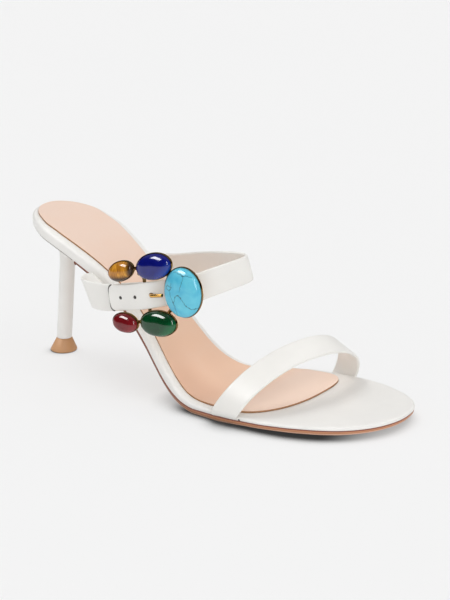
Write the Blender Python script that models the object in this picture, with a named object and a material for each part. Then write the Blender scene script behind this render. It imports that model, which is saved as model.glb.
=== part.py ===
"""High-heeled leather mule, right shoe: two straps, a slender heel and a buckle set with five stones.

Sizes below are millimetres in the last's own frame: X runs from the back of the heel to the toe, Y to the
medial (inner) side and Z up from the floor. mesh_object() scales them to metres, and the empty `shoe` carries
the whole shoe to the middle of its own footprint.
"""
import math
from collections import namedtuple

import bmesh
import bpy
import numpy as np
from mathutils import Vector

MM = 0.001
GAP = 0.3  # clearance between pieces that touch on the real shoe
SMOOTH_ANGLE = math.radians(40)

# Sole
SOLE_LENGTH = 223.4
SOLE_STATIONS = 50
SOLE_COLUMNS = ("x", "lateral", "medial", "top", "seam", "tread")
# lateral, medial: the outline either side of the heel's centre line; top and seam: over and under the footbed;
# tread: under the outsole. Rows stand at the ends of the flat tread, so that it lies on the floor between them.
SOLE_ROWS = (
    (0.0, 0.0, 0.0, 81.4, 74.8, 71.9),
    (4.0, 13.0, 10.7, 80.9, 74.4, 71.5),
    (12.0, 20.9, 17.4, 79.6, 73.5, 70.6),
    (24.0, 26.6, 21.5, 76.7, 70.6, 67.7),
    (36.0, 28.1, 21.1, 72.4, 66.4, 63.5),
    (48.0, 28.4, 18.2, 67.3, 61.0, 58.1),
    (60.0, 28.4, 14.4, 61.2, 54.8, 51.9),
    (75.0, 28.5, 10.5, 51.1, 44.3, 41.3),
    (90.0, 30.5, 9.0, 37.0, 28.8, 25.7),
    (98.0, 32.5, 10.3, 27.9, 19.7, 16.7),
    (105.0, 34.5, 12.0, 20.0, 12.5, 9.6),
    (113.0, 36.7, 16.0, 12.3, 6.8, 3.9),
    (120.0, 38.5, 20.5, 7.9, 4.1, 1.3),
    (127.0, 39.5, 26.5, 5.9, 2.8, 0.0),
    (134.0, 40.1, 30.7, 5.4, 2.8, 0.0),
    (142.0, 40.9, 34.6, 5.4, 3.0, 0.0),
    (150.0, 41.5, 37.0, 5.6, 3.3, 0.6),
    (165.0, 41.7, 37.8, 6.1, 4.1, 1.7),
    (180.0, 39.9, 37.3, 6.6, 4.8, 2.4),
    (190.0, 37.0, 35.9, 6.8, 5.1, 2.6),
    (205.0, 29.5, 30.7, 7.0, 5.2, 2.8),
    (213.0, 22.5, 25.9, 7.2, 5.3, 3.0),
    (219.0, 14.0, 19.8, 7.3, 5.4, 3.2),
    (222.0, 6.6, 13.7, 7.4, 5.5, 3.3),
    (SOLE_LENGTH, -3.0, 3.0, 7.4, 5.5, 3.4),
)
TREAD_FLAT = (127.0, 142.0)
FOOTBED_SIDE = (  # inset from the outline, share of the height
    (0.9, 0.0),
    (0.1, 0.12),
    (0.0, 0.45),
    (0.35, 0.78),
    (1.3, 0.95),
    (3.0, 1.0),
)
OUTSOLE_INSET = 0.4
BREAST_X = 44.0  # front of the heel block, where the outsole begins
SOCK_THICK = 0.8
SOCK_MARGIN_LATERAL = 4.4
SOCK_MARGIN_MEDIAL = 3.0
SOCK_MARGIN_REAR = 3.0
SOCK_MARGIN_RUN = 30.0  # length over which the rear margin becomes the side margins
SOCK_BEVEL = 0.15
SOCK_STRAIGHT_X = 150.0  # from here the sock's outline rounds off to its tip
SOCK_TIP_X = 173.7
SOCK_TIP_SHIFT = 10.0  # the tip lies towards the medial side
SOCK_TIP_SQUARENESS = 2.7
SOCK_TIP_TURNS = np.radians((18, 34, 48, 60, 70, 79))

# Heel
COLUMN_RADIUS = 4.15
COLUMN_FOOT_X = 11.0
COLUMN_LEAN = 5.0
COLUMN_TOP_Z = 52.0
TOP_PIECE_HEIGHT = 7.3
TOP_PIECE_RADIUS = 7.2
TOP_PIECE_CHAMFER = (0.5, 0.7)  # inwards, upwards
HEEL_BLOCK_INSET = 1.6
HEEL_SIDES = 36
HEEL_FLARE = (  # share of the way up to the seat, share of the way out to its outline
    (0.18, 0.01),
    (0.36, 0.05),
    (0.54, 0.14),
    (0.70, 0.30),
    (0.84, 0.53),
    (0.94, 0.80),
    (1.0, 1.0),
)

# Straps: the thickness of the folded leather, and of its skived end under the footbed
STRAP_THICK = 1.6
TAB_THICK = 0.7
STEPS_BETWEEN_ROWS = 4
STRAP_SECTION = (  # share of the width, share of the thickness either side of the middle
    (0.0, 0.0),
    (0.05, 0.46),
    (0.5, 0.54),
    (0.95, 0.46),
    (1.0, 0.0),
    (0.95, -0.46),
    (0.5, -0.46),
    (0.05, -0.46),
)
TOE_STRAP_WIDTH = 15.0
TOE_STRAP_LATERAL = (146.6, -42.4)
TOE_STRAP_MEDIAL = (165.4, 39.2)
TOE_STRAP_FOOT_Z = 5.8
TOE_STRAP_RISE = 26.2
TOE_STRAP_FLATNESS = 2.66
TOE_STRAP_FULLNESS = 1.0 / 1.6
TOE_STRAP_TURNS = np.radians(np.linspace(-82, 82, 29))
TOE_TAB_DEPTHS = (5.0, 1.8)  # how far its skived end lies inside the strap's foot
TAB_LIFT = 0.35  # middle of a skived end over the seam
TOE_STRAP_LEAN = 17.0
TOE_STRAP_TILT = math.radians(23.3)
TOE_STRAP_SKEW = -0.09
TOE_FOOT_ROWS = 8  # rows of the path that reach into the footbed

# Rows of the two long straps: x, y and z of the upper edge, then of the lower edge, and the thickness
INSTEP_ROWS = (
    (57.5, 10.4, 57.0, 70.0, 7.0, 49.1, TAB_THICK),
    (57.5, 13.6, 57.0, 70.0, 10.2, 49.1, TAB_THICK),
    (57.8, 16.0, 57.8, 70.4, 12.6, 49.9, 1.3),
    (59.6, 16.4, 59.0, 71.6, 13.9, 51.0, STRAP_THICK),
    (70.7, 12.4, 61.3, 76.8, 14.2, 49.2, STRAP_THICK),
    (83.6, 6.2, 64.8, 87.0, 11.6, 52.4, STRAP_THICK),
    (96.3, -0.6, 68.9, 98.6, 6.2, 57.0, STRAP_THICK),
    (108.3, -5.2, 72.5, 110.3, 2.2, 60.8, STRAP_THICK),
    (120.0, -7.9, 75.3, 122.0, -1.4, 63.1, STRAP_THICK),
    (130.5, -8.2, 76.8, 133.0, -3.6, 63.9, STRAP_THICK),
    (137.4, -9.0, 77.3, 139.8, -6.0, 64.1, STRAP_THICK),
    (140.4, -12.0, 77.4, 142.4, -9.6, 64.2, STRAP_THICK),
    (140.2, -16.4, 77.1, 142.0, -14.8, 63.7, STRAP_THICK),
    (137.6, -24.0, 76.2, 139.2, -23.4, 62.6, STRAP_THICK),
    (133.2, -32.0, 74.5, 134.9, -32.0, 60.8, STRAP_THICK),
    (127.5, -38.6, 72.2, 129.4, -38.6, 58.4, STRAP_THICK),
    (119.5, -40.7, 69.9, 121.5, -40.7, 56.6, STRAP_THICK),
    (113.8, -41.7, 68.6, 115.8, -41.7, 55.3, STRAP_THICK),
    (106.6, -45.0, 66.8, 108.6, -45.0, 53.5, STRAP_THICK),
    (99.6, -46.0, 65.0, 101.6, -46.0, 51.7, STRAP_THICK),
    (90.1, -46.3, 63.0, 92.1, -46.3, 49.7, STRAP_THICK),
    (84.7, -46.2, 61.9, 86.7, -46.2, 48.6, STRAP_THICK),
)
INSTEP_FOOT_ROWS = 20
TAIL_CORNER = 3.2
TAIL_CORNER_TURNS = np.radians((25, 50, 72, 90))
TAIL_HOLES_X = (88.6, 98.2, 107.6)  # the last one takes the prong
HOLE_RADIUS = 0.9
PRONG_HOLE_RADIUS = 1.6
HOLE_LENGTH = 6.0
HOLE_SIDES = 16

BUCKLE_STRAP_THICK = 1.2
BUCKLE_STRAP_ROWS = (
    (56.0, -24.0, 58.4, 68.0, -24.2, 50.7, TAB_THICK),
    (56.0, -27.6, 58.4, 68.0, -27.8, 50.7, TAB_THICK),
    (56.4, -30.6, 58.9, 68.0, -30.8, 50.9, BUCKLE_STRAP_THICK),
    (57.2, -35.0, 59.9, 66.8, -35.6, 48.6, BUCKLE_STRAP_THICK),
    (58.8, -39.8, 60.0, 66.6, -40.6, 47.2, BUCKLE_STRAP_THICK),
    (63.0, -43.2, 60.0, 69.2, -43.6, 46.2, BUCKLE_STRAP_THICK),
    (72.6, -44.0, 60.0, 76.4, -44.1, 46.1, BUCKLE_STRAP_THICK),
    (84.0, -44.0, 61.2, 86.9, -44.0, 47.9, BUCKLE_STRAP_THICK),
    (95.0, -43.9, 63.2, 97.4, -43.9, 50.5, BUCKLE_STRAP_THICK),
    (101.6, -43.6, 64.5, 104.0, -43.6, 52.1, BUCKLE_STRAP_THICK),
    (103.4, -41.7, 64.8, 105.8, -41.7, 52.4, BUCKLE_STRAP_THICK),
    (101.6, -39.8, 64.5, 104.0, -39.8, 52.1, BUCKLE_STRAP_THICK),
    (95.0, -40.2, 63.2, 97.4, -40.2, 50.6, BUCKLE_STRAP_THICK),
    (86.0, -41.6, 61.7, 88.6, -41.6, 48.8, BUCKLE_STRAP_THICK),
)
BUCKLE_STRAP_FOOT_ROWS = 14
PRONG_SLOT_WIDTH = 3.6
PRONG_SLOT_DEPTH = 9.0
PRONG_SLOT_U = (-28.0, -16.0)

# Buckle: a local frame on the big setting, with u forward, v up and d outwards from the foot
BUCKLE_ORIGIN = Vector((125.6, -43.5, 64.1))
BUCKLE_OUTWARD = Vector((0.064, -0.990, 0.013)).normalized()
BUCKLE_FORWARD = Vector((0.975, 0.066, 0.207))
Stone = namedtuple("Stone", "name u v width height tilt dome colour")  # width and height of its setting
STONES = (
    Stone("turquoise", 0.4, -0.1, 21.7, 25.9, 0.0, 4.2, (0.10, 0.58, 0.72)),
    Stone("blue", -14.1, 14.6, 21.3, 14.3, 4.0, 3.6, (0.01, 0.01, 0.22)),
    Stone("brown", -33.8, 13.0, 15.2, 10.7, 12.0, 3.0, (0.30, 0.10, 0.01)),
    Stone("green", -17.3, -14.5, 21.5, 14.1, -5.0, 3.6, (0.00, 0.06, 0.02)),
    Stone("red", -37.0, -13.4, 15.2, 10.9, -8.0, 3.0, (0.16, 0.00, 0.01)),
)
SETTING_FRONT = 2.3
SETTING_WALL = 0.55
SETTING_FLOOR = 0.6
SETTING_BACK = (  # share of the way in to the middle, d
    (0.55, -1.5),
    (0.22, -1.15),
    (0.03, -0.3),
    (0.0, 0.5),
)
GEM_WALL_TOP = SETTING_FRONT - 0.5
GEM_DOME = (0.0, 0.03, 0.12, 0.30, 0.55, 0.80)  # share of the way in to the middle
GEM_ROUNDNESS = 2.2
LINK_RADIUS = 1.0
LINK_D = -0.6
BAR_U = -24.2
BAR_D = -3.3
BAR_RADIUS = 0.9
BAR_BEND = ((10.8, 0.0), (10.4, -2.2), (9.4, BAR_D), (0.0, BAR_D), (-9.4, BAR_D), (-10.4, -2.2), (-10.8, 0.0))
SETTING_LINKS = (("turquoise", "blue"), ("blue", "brown"), ("turquoise", "green"), ("green", "red"))
OVAL_SIDES = 28
WIRE_SIDES = 10
PRONG_RING = 2.0
PRONG_RING_TURNS = np.radians(np.arange(-90, 211, 20))
PRONG_BEND = (  # u, d along the pin
    (-22.4, -2.7),
    (-21.0, -2.3),
    (-19.7, -1.6),
    (-18.8, -0.3),
    (-18.2, 1.6),
    (-16.7, 3.0),
    (-13.6, 3.4),
    (-10.3, 3.45),
)
PRONG_RADIUS = 0.75

WHITE = (0.86, 0.84, 0.80)
NUDE = (0.89, 0.66, 0.50)
TAN = (0.61, 0.32, 0.14)
LEATHER_EDGE = (0.26, 0.15, 0.09)
GOLD = (0.83, 0.60, 0.22)


# ---- helpers ----

def clear_scene():
    for thing in list(bpy.data.objects):
        bpy.data.objects.remove(thing, do_unlink=True)


def material(name, colour, roughness, metallic=0.0):
    made = bpy.data.materials.new(name)
    made.use_nodes = True
    shader = made.node_tree.nodes["Principled BSDF"]
    shader.inputs["Base Color"].default_value = (*colour, 1.0)
    shader.inputs["Roughness"].default_value = roughness
    shader.inputs["Metallic"].default_value = metallic
    return made


def mesh_object(name, points, faces, finish):
    """A closed mesh, given in millimetres, as an object in metres with its faces turned outwards."""
    mesh = bpy.data.meshes.new(name)
    mesh.from_pydata([tuple(float(v) * MM for v in p) for p in points], [], faces)
    work = bmesh.new()
    work.from_mesh(mesh)
    bmesh.ops.recalc_face_normals(work, faces=work.faces)
    work.to_mesh(mesh)
    work.free()
    mesh.shade_smooth()
    mesh.set_sharp_from_angle(angle=SMOOTH_ANGLE)
    thing = bpy.data.objects.new(name, mesh)
    bpy.context.scene.collection.objects.link(thing)
    if finish:
        thing.data.materials.append(finish)
    return thing


def strip_cap(start, count):
    """Faces across a ring whose points 0 and count / 2 are its two ends."""
    half = count // 2
    faces = [(start, start + 1, start + count - 1)]
    for k in range(1, half - 1):
        faces.append((start + k, start + k + 1, start + count - k - 1, start + count - k))
    faces.append((start + half - 1, start + half, start + half + 1))
    return faces


def loft(name, rings, finish):
    """A closed solid through rings with the same even number of points."""
    count = len(rings[0])
    points = [p for ring in rings for p in ring]
    faces = []
    for r in range(len(rings) - 1):
        for k in range(count):
            n = (k + 1) % count
            faces.append((r * count + k, r * count + n, (r + 1) * count + n, (r + 1) * count + k))
    faces += strip_cap(0, count)
    faces += strip_cap((len(rings) - 1) * count, count)
    return mesh_object(name, points, faces, finish)


def boolean(thing, cutter, operation):
    change = thing.modifiers.new(operation.title(), "BOOLEAN")
    change.operation = operation
    change.solver = "EXACT"
    change.object = cutter
    cutter.hide_render = True
    cutter.display_type = "WIRE"


def monotone(knots, values, at):
    """Smooth interpolation that never overshoots its knots (Fritsch and Carlson's slopes)."""
    step = np.diff(knots)
    slope = np.diff(values) / step
    tangent = np.empty(len(knots))
    tangent[0], tangent[-1] = slope[0], slope[-1]
    for i in range(1, len(knots) - 1):
        before, after = slope[i - 1], slope[i]
        if before * after <= 0.0:
            tangent[i] = 0.0
            continue
        w1 = 2.0 * step[i] + step[i - 1]
        w2 = step[i] + 2.0 * step[i - 1]
        tangent[i] = (w1 + w2) / (w1 / before + w2 / after)
    i = np.clip(np.searchsorted(knots, at, side="right") - 1, 0, len(step) - 1)
    s = (at - knots[i]) / step[i]
    return (
        (1 + 2 * s) * (1 - s) ** 2 * values[i]
        + s * (1 - s) ** 2 * step[i] * tangent[i]
        + s * s * (3 - 2 * s) * values[i + 1]
        + s * s * (s - 1) * step[i] * tangent[i + 1]
    )


# ---- the last ----

def turn_of(x):
    """Where x lies on the half turn that rounds both ends of the sole."""
    return np.arccos(np.clip(1.0 - 2.0 * np.asarray(x, float) / SOLE_LENGTH, -1.0, 1.0))


def sole_x(turn):
    return SOLE_LENGTH * (1.0 - np.cos(turn)) / 2.0


SOLE_TABLE = dict(zip(SOLE_COLUMNS, np.array(SOLE_ROWS, float).T))
SOLE_KNOTS = turn_of(SOLE_TABLE["x"])


def sole(column, x):
    return monotone(SOLE_KNOTS, SOLE_TABLE[column], turn_of(x))


def outline(x_from, x_to):
    """The sole's outline in plan as one loop, from its rear point round the lateral side to the toe and back."""
    turns = np.union1d(np.linspace(0.0, math.pi, SOLE_STATIONS), turn_of(TREAD_FLAT))
    inside = (turns > turn_of(x_from) + 0.01) & (turns < turn_of(x_to) - 0.01)
    xs = np.concatenate(([x_from], sole_x(turns[inside]), [x_to]))
    lateral = np.column_stack((xs, -sole("lateral", xs)))
    medial = np.column_stack((xs, sole("medial", xs)))
    rear = (lateral[:1] + medial[:1]) / 2.0
    tip = (lateral[-1:] + medial[-1:]) / 2.0
    start = 1 if x_from == 0.0 else 0
    end = -1 if x_to == SOLE_LENGTH else None
    return np.concatenate((rear, lateral[start:end], tip, medial[start:end][::-1]))


def inset(loop, distance):
    """The loop moved inwards, by one distance or by one for each point."""
    ahead, behind = np.roll(loop, -1, axis=0), np.roll(loop, 1, axis=0)
    along = ahead - behind
    along /= np.linalg.norm(along, axis=1)[:, None]
    inward = np.column_stack((-along[:, 1], along[:, 0]))
    return loop + inward * np.broadcast_to(distance, len(loop))[:, None]


def layer(loop, column, above=0.0):
    """The loop's points in space, on one of the sole's surfaces or a distance above it."""
    return np.column_stack((loop, sole(column, loop[:, 0]) + above))


def footbed(finish):
    edge = outline(0.0, SOLE_LENGTH)
    rings = []
    for into, share in FOOTBED_SIDE:
        loop = inset(edge, into)
        rings.append((1.0 - share) * layer(loop, "seam") + share * layer(loop, "top"))
    return loft("footbed", rings, finish)


def outsole(finish):
    edge = outline(BREAST_X, SOLE_LENGTH)
    loop = inset(edge, OUTSOLE_INSET)
    rings = [layer(loop, "tread"), layer(loop, "seam", -GAP)]
    return loft("outsole", rings, finish)


def sock_outline():
    """The footbed's outline less its margins, closed off round the tip ahead of the toe strap's feet."""
    straight = outline(0.0, SOCK_STRAIGHT_X)
    side = np.sign(straight[:, 1])
    away = np.clip(straight[:, 0] / SOCK_MARGIN_RUN, 0.0, 1.0)
    margin = np.where(side < 0, SOCK_MARGIN_LATERAL, SOCK_MARGIN_MEDIAL)
    loop = inset(straight, SOCK_MARGIN_REAR + (margin - SOCK_MARGIN_REAR) * away)
    half = len(loop) // 2
    lateral, medial = loop[:half], loop[half + 1:]
    corner_l, corner_m = lateral[-1], medial[0]
    start_x = (corner_l[0] + corner_m[0]) / 2.0
    middle = (corner_l[1] + corner_m[1]) / 2.0
    reach = (corner_m[1] - corner_l[1]) / 2.0
    cap_l, cap_m = [], []
    for turn in SOCK_TIP_TURNS:
        share = math.sin(turn) ** (2.0 / SOCK_TIP_SQUARENESS)
        narrowed = math.cos(turn) ** (2.0 / SOCK_TIP_SQUARENESS)
        x = start_x + (SOCK_TIP_X - start_x) * share
        centre = middle + SOCK_TIP_SHIFT * share ** 2
        cap_l.append((x, centre - reach * narrowed))
        cap_m.append((x, centre + reach * narrowed))
    tip = [(SOCK_TIP_X, middle + SOCK_TIP_SHIFT)]
    return np.concatenate((lateral, cap_l, tip, cap_m[::-1], medial))


def sock(finish):
    loop = sock_outline()
    rings = [layer(loop, "top", GAP), layer(inset(loop, SOCK_BEVEL), "top", GAP + SOCK_THICK)]
    return loft("sock", rings, finish)


# ---- the heel ----

def column_centre(z):
    return COLUMN_FOOT_X + COLUMN_LEAN * z / COLUMN_TOP_Z


def turned(centre_x, radius, z):
    """A level ring of the heel, from its rear point round the lateral side."""
    angles = math.pi + np.arange(HEEL_SIDES) * 2.0 * math.pi / HEEL_SIDES
    return np.column_stack((centre_x + radius * np.cos(angles), radius * np.sin(angles), np.full(HEEL_SIDES, z)))


def even_loop(loop, count):
    """The closed loop sampled again at equal distances."""
    closed = np.vstack((loop, loop[:1]))
    travelled = np.concatenate(([0.0], np.cumsum(np.linalg.norm(np.diff(closed, axis=0), axis=1))))
    at = np.arange(count) * travelled[-1] / count
    return np.column_stack([np.interp(at, travelled, closed[:, i]) for i in range(2)])


def heel(finish):
    seat = even_loop(inset(outline(0.0, BREAST_X - HEEL_BLOCK_INSET), HEEL_BLOCK_INSET), HEEL_SIDES)
    under = layer(seat, "seam", -GAP)
    column = turned(column_centre(COLUMN_TOP_Z), COLUMN_RADIUS, COLUMN_TOP_Z)
    foot = TOP_PIECE_HEIGHT + GAP
    rings = [turned(column_centre(foot), COLUMN_RADIUS, foot), column]
    for up, out in HEEL_FLARE:
        rings.append(column + (under - column) * np.array((out, out, up)))
    return loft("heel", rings, finish)


def top_piece(finish):
    inwards, upwards = TOP_PIECE_CHAMFER
    rings = [
        turned(COLUMN_FOOT_X, TOP_PIECE_RADIUS - inwards, 0.0),
        turned(COLUMN_FOOT_X, TOP_PIECE_RADIUS, upwards),
        turned(column_centre(TOP_PIECE_HEIGHT), COLUMN_RADIUS, TOP_PIECE_HEIGHT),
    ]
    return loft("top_piece", rings, finish)


# ---- straps ----

def through(rows):
    """A smooth path through the rows (Catmull and Rom's curve)."""
    rows = np.array(rows, float)
    first, last = 2 * rows[0] - rows[1], 2 * rows[-1] - rows[-2]
    points = np.vstack((first, rows, last))
    middle = (points[:, 0:3] + points[:, 3:6]) / 2.0
    knots = np.concatenate(([0.0], np.cumsum(np.sqrt(np.linalg.norm(np.diff(middle, axis=0), axis=1)))))
    found = []
    for i in range(1, len(points) - 2):
        t0, t1, t2, t3 = knots[i - 1:i + 3]
        p0, p1, p2, p3 = points[i - 1:i + 3]
        for t in t1 + (t2 - t1) * np.arange(STEPS_BETWEEN_ROWS) / STEPS_BETWEEN_ROWS:
            a1 = (t1 - t) / (t1 - t0) * p0 + (t - t0) / (t1 - t0) * p1
            a2 = (t2 - t) / (t2 - t1) * p1 + (t - t1) / (t2 - t1) * p2
            a3 = (t3 - t) / (t3 - t2) * p2 + (t - t2) / (t3 - t2) * p3
            b1 = (t2 - t) / (t2 - t0) * a1 + (t - t0) / (t2 - t0) * a2
            b2 = (t3 - t) / (t3 - t1) * a2 + (t - t1) / (t3 - t1) * a3
            found.append((t2 - t) / (t2 - t1) * b1 + (t - t1) / (t2 - t1) * b2)
    found.append(rows[-1])
    return np.array(found)


def ribbon_rings(path, grow=0.0):
    """Rings of a strap along a path of edge pairs and thickness; grow adds a clearance all round."""
    upper, lower, thick = path[:, 0:3], path[:, 3:6], path[:, 6]
    middle = (upper + lower) / 2.0
    along = np.gradient(middle, axis=0)
    rings = []
    for a, b, forward, t in zip(upper, lower, along, thick):
        across = b - a
        out = np.cross(forward, across)
        out /= np.linalg.norm(out)
        wider = grow * across / np.linalg.norm(across)
        rings.append([
            a - wider + (across + 2 * wider) * share + out * (t + 2 * grow) * height
            for share, height in STRAP_SECTION
        ])
    return rings


def rounded_end(path):
    """The path with the rows that round the two corners of its free end."""
    last = path[-1]
    ahead = last[0:3] + last[3:6] - path[-2][0:3] - path[-2][3:6]
    ahead /= np.linalg.norm(ahead)
    across = last[3:6] - last[0:3]
    across /= np.linalg.norm(across)
    rows = []
    for turn in TAIL_CORNER_TURNS:
        forward = ahead * TAIL_CORNER * math.sin(turn)
        narrower = across * TAIL_CORNER * (1.0 - math.cos(turn))
        rows.append(np.concatenate((last[0:3] + forward + narrower, last[3:6] + forward - narrower, last[6:])))
    return np.vstack((path, rows))


def make_room(bed, path, rows, name):
    """Clears the footbed for the first rows of a strap, and a little past the strap's end."""
    back = path[0] - path[1]
    end = path[0] + back * 2.0 * GAP / np.linalg.norm(back[0:3])
    boolean(bed, loft(name, ribbon_rings(np.vstack((end, path[:rows])), GAP), None), "DIFFERENCE")


def toe_strap_path():
    """From its lateral foot over the toes to its medial foot: a flattened arch that leans and tips forward."""
    lateral, medial = np.array(TOE_STRAP_LATERAL), np.array(TOE_STRAP_MEDIAL)
    rows = []
    for s in np.concatenate(([-1.0], np.sin(TOE_STRAP_TURNS), [1.0])):
        rise = (1.0 - abs(s) ** TOE_STRAP_FLATNESS) ** TOE_STRAP_FULLNESS
        x, y = lateral + (medial - lateral) * (s + 1.0) / 2.0
        tilt = TOE_STRAP_TILT * rise
        centre = np.array((x + TOE_STRAP_LEAN * rise, y, TOE_STRAP_FOOT_Z + TOE_STRAP_RISE * rise))
        half = TOE_STRAP_WIDTH / 2.0 * np.array((math.cos(tilt), TOE_STRAP_SKEW, -math.sin(tilt)))
        rows.append(np.concatenate((centre - half, centre + half, [STRAP_THICK])))
    return np.array([*tab_rows(rows[0], 1.0), *rows, *tab_rows(rows[-1], -1.0)[::-1]])


def tab_rows(foot, inward):
    """The skived end of a strap, turned in under the footbed."""
    rows = []
    for depth in TOE_TAB_DEPTHS:
        row = foot.copy()
        row[[1, 4]] += inward * depth
        row[[2, 5]] = sole("seam", foot[[0, 3]]) + TAB_LIFT
        row[6] = TAB_THICK
        rows.append(row)
    return rows


def tail_hole(path, x, radius, name):
    """A round cutter through the strap where its middle line reaches x on its way back to the heel."""
    middle = (path[:, 0:3] + path[:, 3:6]) / 2.0
    turned_back = int(np.argmax(middle[:, 0]))
    row = turned_back + int(np.argmin(np.abs(middle[turned_back:, 0] - x)))
    across = path[row, 3:6] - path[row, 0:3]
    out = np.cross(middle[row + 1] - middle[row - 1], across)
    out *= HOLE_LENGTH / 2.0 / np.linalg.norm(out)
    return rod(name, middle[row] - out, middle[row] + out, radius, HOLE_SIDES, None)


def rod(name, start, end, radius, sides, finish):
    start, end = Vector(start), Vector(end)
    side = (end - start).orthogonal().normalized() * radius
    other = (end - start).normalized().cross(side)
    rings = [
        [centre + side * math.cos(a) + other * math.sin(a) for a in np.arange(sides) * 2.0 * math.pi / sides]
        for centre in (start, end)
    ]
    return loft(name, rings, finish)


def tube(name, centres, radius, sides, finish):
    """A round bar bent through its centres."""
    centres = [Vector(c) for c in centres]
    side = (centres[1] - centres[0]).orthogonal().normalized()
    rings = []
    for i, centre in enumerate(centres):
        along = (centres[min(i + 1, len(centres) - 1)] - centres[max(i - 1, 0)]).normalized()
        side = (side - along * side.dot(along)).normalized()
        other = along.cross(side)
        rings.append([
            centre + (side * math.cos(a) + other * math.sin(a)) * radius
            for a in np.arange(sides) * 2.0 * math.pi / sides
        ])
    return loft(name, rings, finish)


# ---- the buckle ----

def buckle_point(u, v, d):
    outward = BUCKLE_OUTWARD
    forward = (BUCKLE_FORWARD - outward * BUCKLE_FORWARD.dot(outward)).normalized()
    upward = outward.cross(forward)
    return BUCKLE_ORIGIN + forward * u + upward * v + outward * d


def oval(stone, inwards, d):
    """A ring of the stone's own oval, moved inwards, at depth d."""
    tilt = math.radians(stone.tilt)
    ring = []
    for a in np.arange(OVAL_SIDES) * 2.0 * math.pi / OVAL_SIDES:
        along = (stone.width / 2.0 - inwards) * math.cos(a)
        up = (stone.height / 2.0 - inwards) * math.sin(a)
        ring.append(buckle_point(
            stone.u + along * math.cos(tilt) - up * math.sin(tilt),
            stone.v + along * math.sin(tilt) + up * math.cos(tilt),
            d,
        ))
    return ring


def half_width(stone):
    return min(stone.width, stone.height) / 2.0


def setting(stone, finish):
    """A closed gold cup with a rounded back and a thin wall that holds the stone."""
    rings = [oval(stone, half_width(stone) * share, d) for share, d in SETTING_BACK]
    rings += [
        oval(stone, 0.0, SETTING_FRONT),
        oval(stone, SETTING_WALL, SETTING_FRONT),
        oval(stone, SETTING_WALL, SETTING_FLOOR),
    ]
    return loft("setting_" + stone.name, rings, finish)


def gem(stone):
    """A cabochon: a low wall inside the setting, and a dome over it."""
    edge = SETTING_WALL + GAP
    rings = [oval(stone, edge, SETTING_FLOOR + GAP)]
    for share in GEM_DOME:
        height = stone.dome * (1.0 - (1.0 - share) ** GEM_ROUNDNESS) ** 0.5
        rings.append(oval(stone, edge + (half_width(stone) - edge) * share, GEM_WALL_TOP + height))
    return loft("gem_" + stone.name, rings, material(stone.name + " stone", stone.colour, 0.08))


def buckle_frame(finish):
    """Five settings soldered side by side into a C, and the bar that the fixed strap loops round."""
    cups = {stone.name: setting(stone, finish) for stone in STONES}
    places = {stone.name: buckle_point(stone.u, stone.v, LINK_D) for stone in STONES}
    frame = cups.pop("turquoise")
    frame.name = frame.data.name = "buckle_frame"
    bars = [
        rod("link_" + a + "_" + b, places[a], places[b], LINK_RADIUS, WIRE_SIDES, finish)
        for a, b in SETTING_LINKS
    ]
    bars.append(tube("bar", [buckle_point(BAR_U, v, d) for v, d in BAR_BEND], BAR_RADIUS, WIRE_SIDES, finish))
    for cutter in (*cups.values(), *bars):
        boolean(frame, cutter, "UNION")
    return frame


def prong_slot():
    """A cutter through both layers of the fixed strap's loop, where the prong rings the bar."""
    half, deep = PRONG_SLOT_WIDTH / 2.0, PRONG_SLOT_DEPTH / 2.0
    rings = [
        [buckle_point(u, v, BAR_D + d) for v, d in ((-half, -deep), (-half, deep), (half, deep), (half, -deep))]
        for u in PRONG_SLOT_U
    ]
    return loft("prong_slot", rings, None)


def prong(finish):
    """A ring round the bar under the strap, and a pin that comes out of the last hole and lies on the setting."""
    ring = [
        buckle_point(BAR_U + PRONG_RING * math.cos(turn), 0.0, BAR_D + PRONG_RING * math.sin(turn))
        for turn in PRONG_RING_TURNS
    ]
    pin = [buckle_point(u, 0.0, d) for u, d in PRONG_BEND]
    eye = tube("prong", ring, PRONG_RADIUS, WIRE_SIDES, finish)
    boolean(eye, tube("prong_pin", pin, PRONG_RADIUS, WIRE_SIDES, finish), "UNION")
    return eye


def centre_on_footprint(pieces):
    """Puts the middle of the shoe's box over the origin, with the floor at zero."""
    shoe = bpy.data.objects.new("shoe", None)
    bpy.context.scene.collection.objects.link(shoe)
    corners = np.array([v.co for piece in pieces for v in piece.data.vertices])
    low, high = corners.min(axis=0), corners.max(axis=0)
    for thing in bpy.data.objects:
        if thing is not shoe:
            thing.parent = shoe
    shoe.location = (-(low[0] + high[0]) / 2.0, -(low[1] + high[1]) / 2.0, 0.0)


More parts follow.
